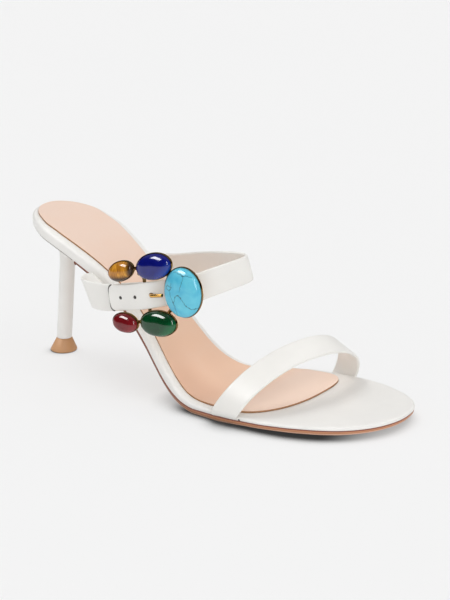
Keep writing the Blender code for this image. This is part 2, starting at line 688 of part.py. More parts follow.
def main():
    clear_scene()
    white = material("white leather", WHITE, 0.45)
    gold = material("gold plate", GOLD, 0.15, 1.0)

    bed = footbed(white)
    tread = outsole(material("leather sole edge", LEATHER_EDGE, 0.6))
    lining = sock(material("nude leather", NUDE, 0.55))
    block = heel(white)
    tip = top_piece(material("tan rubber", TAN, 0.5))

    toe_path = toe_strap_path()
    instep_path = rounded_end(through(INSTEP_ROWS))
    holder_path = through(BUCKLE_STRAP_ROWS)
    toe = loft("toe_strap", ribbon_rings(toe_path), white)
    instep = loft("instep_strap", ribbon_rings(instep_path), white)
    holder = loft("buckle_strap", ribbon_rings(holder_path), white)
    make_room(bed, toe_path, TOE_FOOT_ROWS, "room_toe_lateral")
    make_room(bed, toe_path[::-1], TOE_FOOT_ROWS, "room_toe_medial")
    make_room(bed, instep_path, INSTEP_FOOT_ROWS, "room_instep")
    make_room(bed, holder_path, BUCKLE_STRAP_FOOT_ROWS, "room_buckle_strap")

    *plain_holes, prong_hole = TAIL_HOLES_X
    for i, x in enumerate(plain_holes):
        boolean(instep, tail_hole(instep_path, x, HOLE_RADIUS, f"hole_{i}"), "DIFFERENCE")
    boolean(instep, tail_hole(instep_path, prong_hole, PRONG_HOLE_RADIUS, "hole_prong"), "DIFFERENCE")
    boolean(holder, prong_slot(), "DIFFERENCE")

    pieces = [bed, tread, lining, block, tip, toe, instep, holder, buckle_frame(gold), prong(gold)]
    centre_on_footprint(pieces + [gem(stone) for stone in STONES])


main()
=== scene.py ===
"""The looks of the high-heeled leather mule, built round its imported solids.

Sizes are millimetres in the last's frame, as in the solids: X from the back of the heel to the toe, Y to the
medial side, Z up from the floor. world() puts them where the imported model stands. Sizes in materials, floor
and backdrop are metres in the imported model's own frame.
"""

import math
from collections import namedtuple

import bmesh
import bpy
import numpy as np
from mathutils import Matrix, Vector

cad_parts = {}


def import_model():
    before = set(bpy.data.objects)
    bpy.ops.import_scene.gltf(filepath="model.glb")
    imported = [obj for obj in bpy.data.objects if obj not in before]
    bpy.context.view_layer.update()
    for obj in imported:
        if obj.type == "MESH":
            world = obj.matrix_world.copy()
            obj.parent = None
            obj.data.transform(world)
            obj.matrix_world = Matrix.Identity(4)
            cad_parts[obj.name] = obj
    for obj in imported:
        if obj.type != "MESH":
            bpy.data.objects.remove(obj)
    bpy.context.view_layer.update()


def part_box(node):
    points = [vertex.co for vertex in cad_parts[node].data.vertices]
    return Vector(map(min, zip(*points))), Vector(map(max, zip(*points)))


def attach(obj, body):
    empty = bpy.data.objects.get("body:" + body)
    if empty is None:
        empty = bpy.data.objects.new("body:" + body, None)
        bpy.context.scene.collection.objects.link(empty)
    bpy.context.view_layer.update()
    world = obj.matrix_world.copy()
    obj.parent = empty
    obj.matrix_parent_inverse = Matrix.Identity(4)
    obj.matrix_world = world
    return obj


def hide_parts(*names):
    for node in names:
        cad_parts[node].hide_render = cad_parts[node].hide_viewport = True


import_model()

MM = 0.001
TIP_LOW, TIP_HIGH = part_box("top_piece")
ORIGIN = np.array((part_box("footbed")[0].x, (TIP_LOW.y + TIP_HIGH.y) / 2.0, 0.0))
GAP = 0.3  # between the solids of neighbouring pieces
CLOSE_GAP = 0.3 * GAP  # where a piece of the scene sits closer to its seat than its solid

# ---- sizes of the sole and the heel ----

SOLE_LENGTH = 223.4
SOLE_STATIONS = 130
STATION_MARGIN = 0.004  # how near a station may come to an end of the outline, as a turn
# x; the outline either side of the heel's centre line, lateral and medial; then the heights over the footbed,
# of the seam under it, and of the tread
SOLE_ROWS = (
    (0.0, 0.0, 0.0, 81.4, 74.8, 71.9),
    (4.0, 13.0, 10.7, 80.9, 74.4, 71.5),
    (12.0, 20.9, 17.4, 79.6, 73.5, 70.6),
    (24.0, 26.6, 21.5, 76.7, 70.6, 67.7),
    (36.0, 28.1, 21.1, 72.4, 66.4, 63.5),
    (48.0, 28.4, 18.2, 67.3, 61.0, 58.1),
    (60.0, 28.4, 14.4, 61.2, 54.8, 51.9),
    (75.0, 28.5, 10.5, 51.1, 44.3, 41.3),
    (90.0, 30.5, 9.0, 37.0, 28.8, 25.7),
    (98.0, 32.5, 10.3, 27.9, 19.7, 16.7),
    (105.0, 34.5, 12.0, 20.0, 12.5, 9.6),
    (113.0, 36.7, 16.0, 12.3, 6.8, 3.9),
    (120.0, 38.5, 20.5, 7.9, 4.1, 1.3),
    (127.0, 39.5, 26.5, 5.9, 2.8, 0.0),
    (134.0, 40.1, 30.7, 5.4, 2.8, 0.0),
    (142.0, 40.9, 34.6, 5.4, 3.0, 0.0),
    (150.0, 41.5, 37.0, 5.6, 3.3, 0.6),
    (165.0, 41.7, 37.8, 6.1, 4.1, 1.7),
    (180.0, 39.9, 37.3, 6.6, 4.8, 2.4),
    (190.0, 37.0, 35.9, 6.8, 5.1, 2.6),
    (205.0, 29.5, 30.7, 7.0, 5.2, 2.8),
    (213.0, 22.5, 25.9, 7.2, 5.3, 3.0),
    (219.0, 14.0, 19.8, 7.3, 5.4, 3.2),
    (222.0, 6.6, 13.7, 7.4, 5.5, 3.3),
    (SOLE_LENGTH, -3.0, 3.0, 7.4, 5.5, 3.4),
)
CROSS_SHARES = (0.93, 0.8, 0.6, 0.35, 0.12)  # rows that close a level surface towards its middle line
FOOTBED_SIDE = (  # inset from the outline, share of the height
    (0.45, 0.0), (0.1, 0.12), (0.0, 0.45), (0.35, 0.78), (1.3, 0.95), (3.0, 1.0),
)
FOOTBED_SIDE_STEPS = 4
FOOTBED_HEIGHT = 6.0  # weighs a share of the height against an inset when the side's rows are spaced
NOTCHES_X = (139.5, 156.4)
NOTCH_RADIUS = 0.6
NOTCH_REACH = (-2.0, 2.4)  # from outside the footbed's edge to inside it
NOTCH_LIFT = 0.7 * NOTCH_RADIUS

BREAST_X = 44.0
OUTSOLE_SIDE = (  # the same, and the finish of the band above
    (1.15, 0.0, 1), (0.95, 0.05, 1), (0.50, 0.30, 1), (0.40, 0.36, 0), (0.30, 0.62, 0), (0.32, 0.80, 3),
    (0.45, 1.0, 3),
)
SEAM_GAP = 0.06
SHANK_THIN_TO = 80.0
SHANK_THINNING = 0.5

SOCK_THICK = 0.8
SOCK_SIDE = (  # the same, as a share of the last row's height
    (0.0, 0.0, 1), (0.0, 0.55, 1), (0.05, 0.72, 0), (0.25, 0.80, 0), (1.0, 0.82, 0),
)
SOCK_MARGIN_LATERAL = 4.4
SOCK_MARGIN_MEDIAL = 4.6
SOCK_MARGIN_REAR = 3.0
SOCK_MARGIN_RUN = 30.0
SOCK_STRAIGHT_X = 148.5
SOCK_TIP_X = 173.7
SOCK_TIP_SHIFT = 10.0
SOCK_TIP_SQUARENESS = 2.7
SOCK_TIP_TURNS = np.radians(np.arange(8, 90, 3.5))

COLUMN_RADIUS = 4.15
COLUMN_FOOT_X = 11.0
COLUMN_LEAN = 5.0
COLUMN_TOP_Z = 52.0
COLUMN_EDGE = ((0.35, 0.0), (0.1, 0.05))  # inwards and upwards, where the column meets the top piece
COLUMN_EDGE_HEIGHT = 0.35
COLUMN_ROWS = 14
HEEL_BLOCK_INSET = 0.9
HEEL_SIDES = 96
HEEL_FLARE = (  # share of the way up to the seat, share of the way out to its outline
    (0.0, 0.0), (0.18, 0.01), (0.36, 0.05), (0.54, 0.14), (0.70, 0.30), (0.84, 0.53), (0.94, 0.80),
    (1.0, 1.0),
)
HEEL_FLARE_ROWS = 30
HEEL_SEAM_HEIGHT = 0.6
HEEL_SEAM = ((0.12, 0.18), (0.5, 0.0))  # inset and depth below the seat, where the cover turns in
TOP_PIECE_HEIGHT = 7.3
TOP_PIECE_RADIUS = 7.2
TOP_PIECE_SIDE = (  # radius, height
    (TOP_PIECE_RADIUS - 1.4, 0.0),
    (TOP_PIECE_RADIUS - 0.45, 0.02),
    (TOP_PIECE_RADIUS - 0.12, 0.22),
    (TOP_PIECE_RADIUS, 0.6),
    (TOP_PIECE_RADIUS - 0.05, 1.0),
    (5.75, 4.0),
    (COLUMN_RADIUS + 0.12, TOP_PIECE_HEIGHT - 0.15),
    (COLUMN_RADIUS - 0.1, TOP_PIECE_HEIGHT),
)

# ---- sizes of the straps ----

STRAP_THICK = 1.6
BUCKLE_STRAP_THICK = 1.2
TAB_THICK = 0.7
TAB_LIFT = 0.35
STRAP_STEPS = 9
SECTION_ROUND = np.radians(np.linspace(-90, 90, 9))
SECTION_FLAT = np.linspace(0.0, 1.0, 13)[1:-1]
PILLOW = 0.16
PILLOW_ROUNDNESS = 0.7
TOE_WIDTH = 15.3
TOE_NARROWING = 0.09
TOE_LATERAL = (147.8, -42.5)
TOE_MEDIAL = (166.8, 39.1)
TOE_FOOT_Z = 5.0
TOE_RISE = 27.4
TOE_FLATNESS = 2.23
TOE_FULLNESS = 0.536
TOE_LEAN = 14.2
TOE_TILT = math.radians(24.4)
TOE_TILT_GROWTH = 0.19
TOE_SKEW = -0.113
TOE_TWIST = -0.12
TOE_TURNS = np.radians(np.linspace(-84, 84, 57))
TOE_TAB_DEPTHS = (5.0, 1.8)
# Rows of the two long straps: x, y and z of the upper edge, then of the lower edge
INSTEP_ROWS = (
    (57.5, 10.4, 57.0, 70.0, 7.0, 49.1),
    (57.5, 13.6, 57.0, 70.0, 10.2, 49.1),
    (57.8, 16.0, 57.8, 70.4, 12.6, 49.9),
    (59.6, 16.4, 59.0, 71.6, 13.9, 51.0),
    (70.7, 12.4, 61.3, 76.8, 14.2, 49.2),
    (83.6, 6.2, 64.8, 87.0, 11.6, 52.4),
    (96.3, -0.6, 68.9, 98.6, 6.2, 57.0),
    (108.3, -5.2, 72.5, 110.3, 2.2, 60.8),
    (120.0, -7.9, 75.3, 122.0, -1.4, 63.1),
    (130.5, -8.2, 76.8, 133.0, -3.6, 63.9),
    (137.4, -9.0, 77.3, 139.8, -6.0, 64.1),
    (140.4, -12.0, 77.4, 142.4, -9.6, 64.2),
    (140.2, -16.4, 77.1, 142.0, -14.8, 63.7),
    (137.6, -24.0, 76.2, 139.2, -23.4, 62.6),
    (133.2, -32.0, 74.5, 134.9, -32.0, 60.8),
    (127.5, -38.6, 72.2, 129.4, -38.6, 58.4),
    (119.5, -40.7, 69.9, 121.5, -40.7, 56.6),
    (113.8, -41.7, 68.6, 115.8, -41.7, 55.3),
    (106.6, -45.0, 66.8, 108.6, -45.0, 53.5),
    (99.6, -46.0, 65.0, 101.6, -46.0, 51.7),
    (90.1, -46.3, 63.0, 92.1, -46.3, 49.7),
    (84.2, -46.2, 61.8, 86.2, -46.2, 48.5),
)
INSTEP_FOOT = (TAB_THICK, TAB_THICK, 1.3)  # thickness of the first rows, before the strap's own
BUCKLE_STRAP_ROWS = (
    (56.0, -24.0, 58.4, 68.0, -24.2, 50.7),
    (56.0, -27.6, 58.4, 68.0, -27.8, 50.7),
    (56.4, -30.6, 58.9, 68.0, -30.8, 50.9),
    (57.2, -35.0, 59.9, 66.8, -35.6, 48.6),
    (58.8, -39.8, 60.0, 66.6, -40.6, 47.2),
    (63.0, -43.2, 60.0, 69.2, -43.6, 46.2),
    (72.6, -44.0, 60.0, 76.4, -44.1, 46.1),
    (84.0, -44.0, 61.2, 86.9, -44.0, 47.9),
    (95.0, -43.9, 63.2, 97.4, -43.9, 50.5),
    (101.6, -43.6, 64.5, 104.0, -43.6, 52.1),
    (103.4, -41.7, 64.8, 105.8, -41.7, 52.4),
    (101.6, -39.8, 64.5, 104.0, -39.8, 52.1),
    (95.0, -40.2, 63.2, 97.4, -40.2, 50.6),
    (86.0, -41.6, 61.7, 88.6, -41.6, 48.8),
)
BUCKLE_STRAP_FOOT = (TAB_THICK, TAB_THICK)
TAIL_CORNER = 2.8
TAIL_CORNER_TURNS = np.radians((10, 20, 30, 40, 50, 60, 70, 80, 86, 90))
END_BEAD_ROWS = len(TAIL_CORNER_TURNS)
END_BEAD_RADIUS = 0.42
END_BEAD_LIFT = 0.3
END_BEAD_TIP = 0.3  # share of the radius that is left at both ends of the bead
END_BEAD_SIDES = 12
TAIL_HOLES = ((89.5, 0.9), (98.2, 0.9), (107.6, 1.3))  # x and radius; the last one takes the prong
HOLE_REACH = 3.0
HOLE_SIDES = 32
PRONG_SLOT_WIDTH = 3.6
PRONG_SLOT_DEPTH = 9.0
PRONG_SLOT_U = (-28.0, -16.0)

# ---- sizes of the buckle, in its own u, v and d: forwards, up and out from the foot ----

BUCKLE_ORIGIN = Vector((125.6, -43.5, 64.1))
BUCKLE_OUTWARD = Vector((0.064, -0.990, 0.013)).normalized()
BUCKLE_FORWARD = Vector((0.975, 0.066, 0.207))
Stone = namedtuple("Stone", "name u v width height tilt dome")  # width and height of its setting
STONES = (
    Stone("turquoise", 1.2, 0.4, 21.6, 25.5, -12.0, 4.2),
    Stone("blue", -13.1, 14.2, 21.4, 13.5, 7.0, 3.6),
    Stone("brown", -33.2, 13.1, 16.2, 10.1, 13.0, 3.0),
    Stone("green", -16.7, -14.3, 21.5, 13.5, -5.0, 3.6),
    Stone("red", -36.6, -13.0, 15.2, 10.4, -12.0, 3.0),
)
OVAL_SIDES = 96
SETTING_FRONT = 2.2
SETTING_RIM = 1.0
SETTING_BACK = -1.5
SETTING_WALL = 0.36
SETTING_LIP = (  # drawn inwards, d
    (0.0, 1.85), (0.05, 2.08), (0.15, SETTING_FRONT), (0.25, 2.12), (SETTING_WALL, 1.9),
    (SETTING_WALL + 0.05, 1.6), (SETTING_WALL + 0.05, 0.9),
)
PUFF_ROUNDNESS = 2.6
PUFF_TURNS = np.radians((1.5, 8, 16, 24, 32, 40, 48, 56, 64, 71, 77, 82, 86, 90))
GEM_EDGE = SETTING_WALL + 0.02
GEM_FOOT = SETTING_FRONT - 1.2
GEM_BASE = SETTING_FRONT - 0.35
GEM_ROUNDNESS = 2.5
GEM_TURNS = np.linspace(0.0, 0.99 * math.pi / 2.0, 40)
GEM_SAG = 0.18  # how far down its middle lies, as a share of its half height
GEM_LEAN = 0.5
VEINS = (  # u and v from the middle of the turquoise stone, then half the line's width
    ((-3.7, 5.6, 0.10), (-4.4, 3.8, 0.20), (-5.4, 4.2, 0.20), (-6.5, 4.5, 0.20), (-7.5, 3.7, 0.18),
     (-6.7, 2.7, 0.20), (-5.4, 2.2, 0.24), (-4.4, 3.0, 0.20), (-3.7, 3.7, 0.12)),
    ((-5.4, 2.2, 0.14), (-5.2, 0.8, 0.14), (-5.0, -0.7, 0.12), (-4.4, -2.8, 0.14), (-3.9, -4.3, 0.22),
     (-3.5, -6.4, 0.14), (-3.5, -9.0, 0.14), (-4.0, -11.2, 0.10)),
    ((-3.9, -4.3, 0.22), (-3.1, -2.6, 0.18), (-2.1, -1.0, 0.22), (-0.8, -0.5, 0.28), (0.5, -1.4, 0.22),
     (1.5, -3.2, 0.18), (2.6, -5.4, 0.18), (4.2, -7.2, 0.20), (5.8, -8.1, 0.26), (7.6, -7.9, 0.16)),
    ((-2.4, 10.8, 0.08), (-0.3, 10.4, 0.12), (1.5, 9.5, 0.14), (3.2, 8.6, 0.26), (5.0, 8.4, 0.16),
     (7.6, 7.4, 0.12)),
    ((3.2, 8.6, 0.18), (2.9, 6.6, 0.12), (1.8, 4.4, 0.12), (0.9, 2.2, 0.12), (0.5, 1.2, 0.08)),
)
VEIN_STEPS = 5
VEIN_EDGE = 1.35  # in half widths: outside it a vein has faded away
VEIN_WOBBLE = 0.11
SETTING_LINKS = (("turquoise", "blue"), ("blue", "brown"), ("turquoise", "green"), ("green", "red"))
LINK_D = -0.5
WIRE_RADIUS = 0.9
WIRE_SIDES = 24
WIRE_STEPS = 6
BAR_U = -24.2
BAR_D = -3.3
BAR_BEND = (  # v, d
    (10.8, 0.0), (10.4, -2.2), (9.4, BAR_D), (0.0, BAR_D), (-9.4, BAR_D), (-10.4, -2.2), (-10.8, 0.0),
)
PRONG_RING = 2.0
PRONG_RING_TURNS = np.radians(np.arange(-90, 211, 12))
PRONG_BEND = (  # u, d along the pin
    (-22.4, -2.7), (-21.0, -2.3), (-19.7, -1.6), (-18.8, -0.3), (-18.2, 1.6), (-16.7, 3.0), (-13.6, 3.4),
    (-10.3, 3.45),
)

SHARP_SOLE, SHARP_STRAP, SHARP_ROUND = 35, 50, 60  # degrees from which an edge is shaded sharp

# ---- sizes of the set ----

CAMERA_AIM = (118.4, 1.5, 47.0)
CAMERA_DISTANCE = 889.6
CAMERA_AZIMUTH = 35.2
CAMERA_HEIGHT = 17.8
CAMERA_ROLL = -0.48
CAMERA_LENS = 105.1
CAMERA_CLIP = (0.05, 200.0)

FLOOR_HALF = 60.0
FLOOR_ROWS = 25
FLOOR_GLOW = 0.64
SHADE_REACH = 0.016
SHADE_SAMPLES = 16
SHADE_LEAN = (0.13, 0.33, 0.92)  # throws the shade to the lateral side
SHADE_RANGE = (0.22, 0.88)
CONTACT_SHADE = 0.05  # share of the glow left where the sole touches the floor
RAISED_SHADE = 0.62  # and under its raised parts
TREAD_REAR = (-0.004, 0.012)  # x over which the shade deepens at the rear of the tread
TREAD_FRONT = (0.108, 0.083)  # at the front of the tread
TIP_FRONT = (-0.080, -0.086)  # and at the front of the top piece

BACKDROP_RADIUS = 8.0
BACKDROP_HEIGHT = 7.0
BACKDROP_SIDES = 96
BACKDROP_ROWS = 6
BACKDROP_LEVEL = 0.885

LIGHT_DISTANCE = 80.0
BRIGHT_SIDE = (-0.15, 0.42, 0.89)
WORLD_STRENGTH = 0.35
WORLD_STOPS = ((0.30, (0.05, 0.05, 0.052)), (0.75, (1.0, 1.0, 1.0)))
SOFTBOXES = (  # name, direction, width and height in degrees, radiance, who sees it
    ("overhead box", (-0.39, 0.0, 0.92), 24.0, 24.0, 4.4, "matt"),
    ("sky", (-0.10, 0.35, 0.93), 110.0, 90.0, 0.45, "matt"),
    ("left box", (-0.47, -0.62, 0.63), 34.0, 16.0, 14.0, "mirrors"),
    ("right strip", (0.62, -0.66, 0.42), 7.0, 34.0, 10.0, "mirrors"),
    ("front fill", (-0.35, -0.90, 0.22), 90.0, 50.0, 0.95, "matt"),
    ("right fill", (0.80, -0.35, 0.50), 70.0, 60.0, 1.5, "matt"),
)


# ---- materials ----

BLACK, WHITE = (0.0, 0.0, 0.0), (1.0, 1.0, 1.0)
USUAL_NOISE = (0.3, 0.7)  # where nearly all values of a noise lie
MIX_SHARE, MIX_A, MIX_B, MIX_RESULT = 0, 6, 7, 2  # the Mix node's sockets for colours


class Nodes:
    """A tree of shader nodes, and how nodes are added to it."""

    def __init__(self, tree):
        self.tree = tree

    def feed(self, node, **inputs):
        """Sets or links inputs by name; i0 and i1 stand for the first two by place."""
        for name, value in inputs.items():
            socket = node.inputs[int(name[1]) if name in ("i0", "i1") else name.replace("_", " ")]
            self.put(socket, value)
        return node

    def put(self, socket, value):
        if isinstance(value, bpy.types.NodeSocket):
            self.tree.links.new(value, socket)
        else:
            socket.default_value = value

    def node(self, kind, **inputs):
        return self.feed(self.tree.nodes.new("ShaderNode" + kind), **inputs)

    def dot(self, a, b):
        made = self.node("VectorMath", i0=a, i1=b)
        made.operation = "DOT_PRODUCT"
        return made.outputs["Value"]

    def ramp(self, value, stops, interpolation="LINEAR"):
        made = self.node("ValToRGB", Fac=value)
        made.color_ramp.interpolation = interpolation
        elements = made.color_ramp.elements
        for stop, (position, colour) in zip(elements, (stops[0], stops[-1])):
            stop.position, stop.color = position, (*colour, 1.0)
        for position, colour in stops[1:-1]:
            elements.new(position).color = (*colour, 1.0)
        return made.outputs["Color"]


class Finish(Nodes):
    """A Principled material with the few nodes that the finishes below share.

    Patterns lie in the object's own place unless where says otherwise.
    """

    def __init__(self, name, colour, roughness, **sockets):
        self.material = bpy.data.materials.new(name)
        self.material.use_nodes = True
        super().__init__(self.material.node_tree)
        self.shader = self.tree.nodes["Principled BSDF"]
        self.feed(self.shader, Base_Color=(*colour, 1.0), Roughness=roughness, **sockets)

    def colour(self, source):
        self.feed(self.shader, Base_Color=source)

    def place(self):
        return self.node("TexCoord").outputs["Object"]

    def stone_uv(self):
        return self.node("UVMap").outputs["UV"]

    def axes(self, where=None):
        split = self.node("SeparateXYZ", Vector=where or self.place())
        return split.outputs["X"], split.outputs["Y"]

    def noise(self, scale, detail=2.0, roughness=0.5, distortion=0.0, where=None):
        made = self.node("TexNoise", Vector=where or self.place(), Scale=scale, Detail=detail,
                         Roughness=roughness, Distortion=distortion)
        return made.outputs["Fac"]

    def cells(self, scale):
        return self.node("TexVoronoi", Vector=self.place(), Scale=scale).outputs["Distance"]

    def stretched(self, scale, where=None, turn=(0.0, 0.0, 0.0)):
        made = self.node("Mapping", Vector=where or self.place(), Scale=scale, Rotation=turn)
        return made.outputs["Vector"]

    def math(self, operation, a, b, clamp=False):
        made = self.node("Math", i0=a, i1=b)
        made.operation = operation
        made.use_clamp = clamp
        return made.outputs[0]

    def ranged(self, value, low, high, to_low=0.0, to_high=1.0, smooth=False):
        made = self.node("MapRange", Value=value, From_Min=low, From_Max=high, To_Min=to_low, To_Max=to_high)
        made.interpolation_type = "SMOOTHSTEP" if smooth else "LINEAR"
        return made.outputs["Result"]

    def step(self, value, low, high, to_low=0.0, to_high=1.0):
        return self.ranged(value, low, high, to_low, to_high, smooth=True)

    def mix(self, share, a, b):
        made = self.node("Mix")
        made.data_type = "RGBA"
        self.put(made.inputs[MIX_SHARE], share)
        for index, value in ((MIX_A, a), (MIX_B, b)):
            self.put(made.inputs[index], (*value, 1.0) if isinstance(value, tuple) else value)
        return made.outputs[MIX_RESULT]

    def clouded(self, scale, detail, dark, light):
        return self.mix(self.noise(scale, detail), dark, light)

    def fibre(self, scale, roughness):
        """Noise drawn out along the axes with the smaller scales."""
        return self.noise(1.0, 4.0, roughness, where=self.stretched(scale))

    def rough(self, noise, low, high):
        self.feed(self.shader, Roughness=self.ranged(noise, *USUAL_NOISE, low, high))

    def relief(self, height, strength, distance, under=None):
        """A bump over the whole surface; under is the bump that it lies on."""
        made = self.node("Bump", Height=height, Strength=strength, Distance=distance)
        if under:
            self.feed(made, Normal=under.outputs["Normal"])
        self.feed(self.shader, Normal=made.outputs["Normal"])
        return made

    def grained(self, fine, pebbles, roughness):
        """Leather's pebbles with a fine grain over them; each has a scale, a strength and a distance."""
        grain = self.noise(fine[0], detail=4.0, roughness=0.6)
        self.rough(grain, *roughness)
        self.relief(grain, *fine[1:], under=self.relief(self.cells(pebbles[0]), *pebbles[1:]))


def white_leather(name, colour):
    """Smooth calf: a fine pebbled grain, faint clouding and a soft shine."""
    f = Finish(name, colour, 0.42, Specular_IOR_Level=0.32, Coat_Weight=0.04, Coat_Roughness=0.3)
    clouds = f.noise(scale=55.0, detail=3.0)
    shade = tuple(c * 0.965 for c in colour)
    f.colour(f.mix(f.ranged(clouds, 0.35, 0.65), shade, colour))
    f.grained((1500.0, 0.16, 0.00010), (2600.0, 0.10, 0.00006), (0.38, 0.48))
    return f.material


def nude_leather(name):
    """Lining leather, smooth and matt: warm at the waist, with painted shade at the outer bend and painted
    light under the toes.
    """
    pale, warm, bent, toe = (0.83, 0.635, 0.525), (0.84, 0.565, 0.41), (0.70, 0.43, 0.30), (0.92, 0.72, 0.60)
    f = Finish(name, pale, 0.5, Specular_IOR_Level=0.35, Sheen_Weight=0.06, Sheen_Roughness=0.5)
    x, y = f.axes()
    waist = f.math("MULTIPLY", f.step(x, -0.075, 0.0), f.step(x, 0.045, 0.015))
    clouds = f.ranged(f.noise(scale=70.0, detail=3.0), *USUAL_NOISE, -0.12, 0.12)
    tone = f.mix(f.math("ADD", waist, clouds, clamp=True), pale, warm)
    # The darker tone at the outer bend is painted shade, where the surface turns from the waist to the ball.
    bend = f.math("MULTIPLY", f.step(x, -0.016, 0.004), f.step(x, 0.034, 0.014))
    outer_side = f.step(y, -0.004, -0.022, 0.0, 0.7)
    tone = f.mix(f.math("MULTIPLY", bend, outer_side), tone, bent)
    # The paler tone under the toes is painted light, where the toe strap's shadow falls.
    f.colour(f.mix(f.step(x, 0.030, 0.052), tone, toe))
    f.grained((1900.0, 0.14, 0.00008), (3200.0, 0.08, 0.00005), (0.46, 0.56))
    return f.material


def speckled(name, roughness, scale, detail, dark, light):
    """Edge paint, or painted shade in seams, holes and nicks: one tone with fine specks in it."""
    f = Finish(name, light, roughness)
    f.colour(f.clouded(scale, detail, dark, light))
    return f.material


def sole_edge(name):
    """Stained and waxed edge with its compressed fibre along it, darkened along the shank by painted shade.
    """
    f = Finish(name, (0.43, 0.16, 0.07), 0.38, Coat_Weight=0.2, Coat_Roughness=0.25)
    fibre = f.fibre((60.0, 60.0, 2600.0), 0.7)
    x, _ = f.axes()
    forepart = f.mix(fibre, (0.44, 0.17, 0.08), (0.58, 0.26, 0.13))
    # The darker tone along the shank is painted shade, where the edge lies under the arch.
    shank = f.mix(fibre, (0.14, 0.045, 0.025), (0.22, 0.075, 0.04))
    f.colour(f.mix(f.step(x, 0.035, -0.02), forepart, shank))
    f.relief(fibre, strength=0.2, distance=0.00006)
    return f.material


def sole_bevel(name):
    """The sole's lower bevel: pale under the forepart by painted light, where the floor lights it, and dark
    along the shank by painted shade.
    """
    f = Finish(name, (0.66, 0.37, 0.24), 0.45)
    x, _ = f.axes()
    # Painted light: the pale tone under the forepart; painted shade: the dark tone along the shank.
    forepart = f.clouded(300.0, 4.0, (0.70, 0.40, 0.27), (0.82, 0.52, 0.38))
    f.colour(f.mix(f.step(x, 0.02, -0.03), forepart, (0.24, 0.085, 0.045)))
    return f.material


def sole_leather(name):
    """The tread: pale tan leather with a buffed, slightly fibrous face."""
    f = Finish(name, (0.50, 0.30, 0.17), 0.45, Coat_Weight=0.1, Coat_Roughness=0.35)
    clouds = f.noise(scale=60.0, detail=4.0)
    fibre = f.fibre((300.0, 1400.0, 1400.0), 0.65)
    tone = f.math("ADD", f.math("MULTIPLY", clouds, 0.6), f.math("MULTIPLY", fibre, 0.4))
    f.colour(f.mix(tone, (0.42, 0.235, 0.125), (0.58, 0.37, 0.225)))
    f.relief(fibre, strength=0.2, distance=0.0001)
    return f.material


def tan_rubber(name):
    f = Finish(name, (0.58, 0.31, 0.15), 0.5, Specular_IOR_Level=0.35)
    f.colour(f.clouded(90.0, 3.0, (0.56, 0.295, 0.14), (0.62, 0.34, 0.17)))
    speckle = f.noise(scale=900.0, detail=3.0, roughness=0.6)
    f.rough(speckle, 0.44, 0.56)
    f.relief(speckle, strength=0.12, distance=0.00008)
    return f.material


def gold(name, deep, bright):
    """Plated metal: a mirror polish with a faint unevenness under it."""
    f = Finish(name, bright, 0.06, Metallic=1.0)
    f.colour(f.clouded(120.0, 2.0, deep, bright))
    f.rough(f.noise(scale=700.0, detail=3.0), 0.04, 0.09)
    f.relief(f.noise(scale=200.0), strength=0.06, distance=0.00010)
    return f.material


def turquoise(name):
    """Blue-green with drifting shades, and dark veins that the stone's own mesh carries as a value."""
    f = Finish(name, (0.13, 0.58, 0.75), 0.16, IOR=1.55)
    clouds = f.noise(scale=150.0, detail=3.0, roughness=0.55, distortion=0.6)
    body = f.mix(f.ranged(clouds, *USUAL_NOISE), (0.075, 0.46, 0.66), (0.15, 0.60, 0.74))
    veins = f.node("Attribute")
    veins.attribute_name = "veins"
    broken = f.ranged(f.noise(scale=700.0, detail=3.0), 0.3, 0.6, 0.55, 1.0)
    dark = f.math("MULTIPLY", veins.outputs["Fac"], broken, clamp=True)
    f.colour(f.mix(dark, body, (0.02, 0.045, 0.055)))
    f.rough(clouds, 0.13, 0.20)
    return f.material


def plain_stone(name, deep, light, glow):
    """A clear deep stone with painted light: a glow low on its right, opposite to where light enters."""
    f = Finish(name, deep, 0.11, IOR=1.62)
    clouds = f.noise(scale=160.0, detail=3.0, roughness=0.6, distortion=0.4)
    body = f.mix(f.ranged(clouds, 0.35, 0.75), deep, light)
    # Painted light: the glow colour low on the stone's right.
    painted_light_mask = f.step(f.dot(f.stone_uv(), (0.75, -0.62, 0.0)), 0.16, 0.44, 0.0, 0.8)
    f.colour(f.mix(painted_light_mask, body, glow))
    return f.material


def tiger_stone(name):
    """Amber with upright silky bands, dark low down and along its right side."""
    f = Finish(name, (0.45, 0.20, 0.03), 0.09, IOR=1.55)
    uv = f.stone_uv()
    bands = f.noise(1.0, 3.0, 0.7, 0.25, where=f.stretched((30.0, 1.8, 1.0), uv, turn=(0.0, 0.0, 0.10)))
    slow = f.noise(1.0, where=f.stretched((5.5, 1.4, 1.0), uv))
    silk = f.math("ADD", f.math("MULTIPLY", bands, 0.55), f.math("MULTIPLY", slow, 0.45))
    amber = f.ramp(silk, (
        (0.34, (0.16, 0.055, 0.008)),
        (0.44, (0.38, 0.14, 0.012)),
        (0.55, (0.62, 0.27, 0.025)),
        (0.66, (0.86, 0.42, 0.05)),
    ))
    across, up = f.axes(uv)
    dark = f.math("MAXIMUM", f.step(up, -0.10, -0.36, 0.0, 0.95), f.step(across, 0.20, 0.40, 0.0, 0.97))
    f.colour(f.mix(dark, amber, (0.03, 0.012, 0.006)))
    return f.material


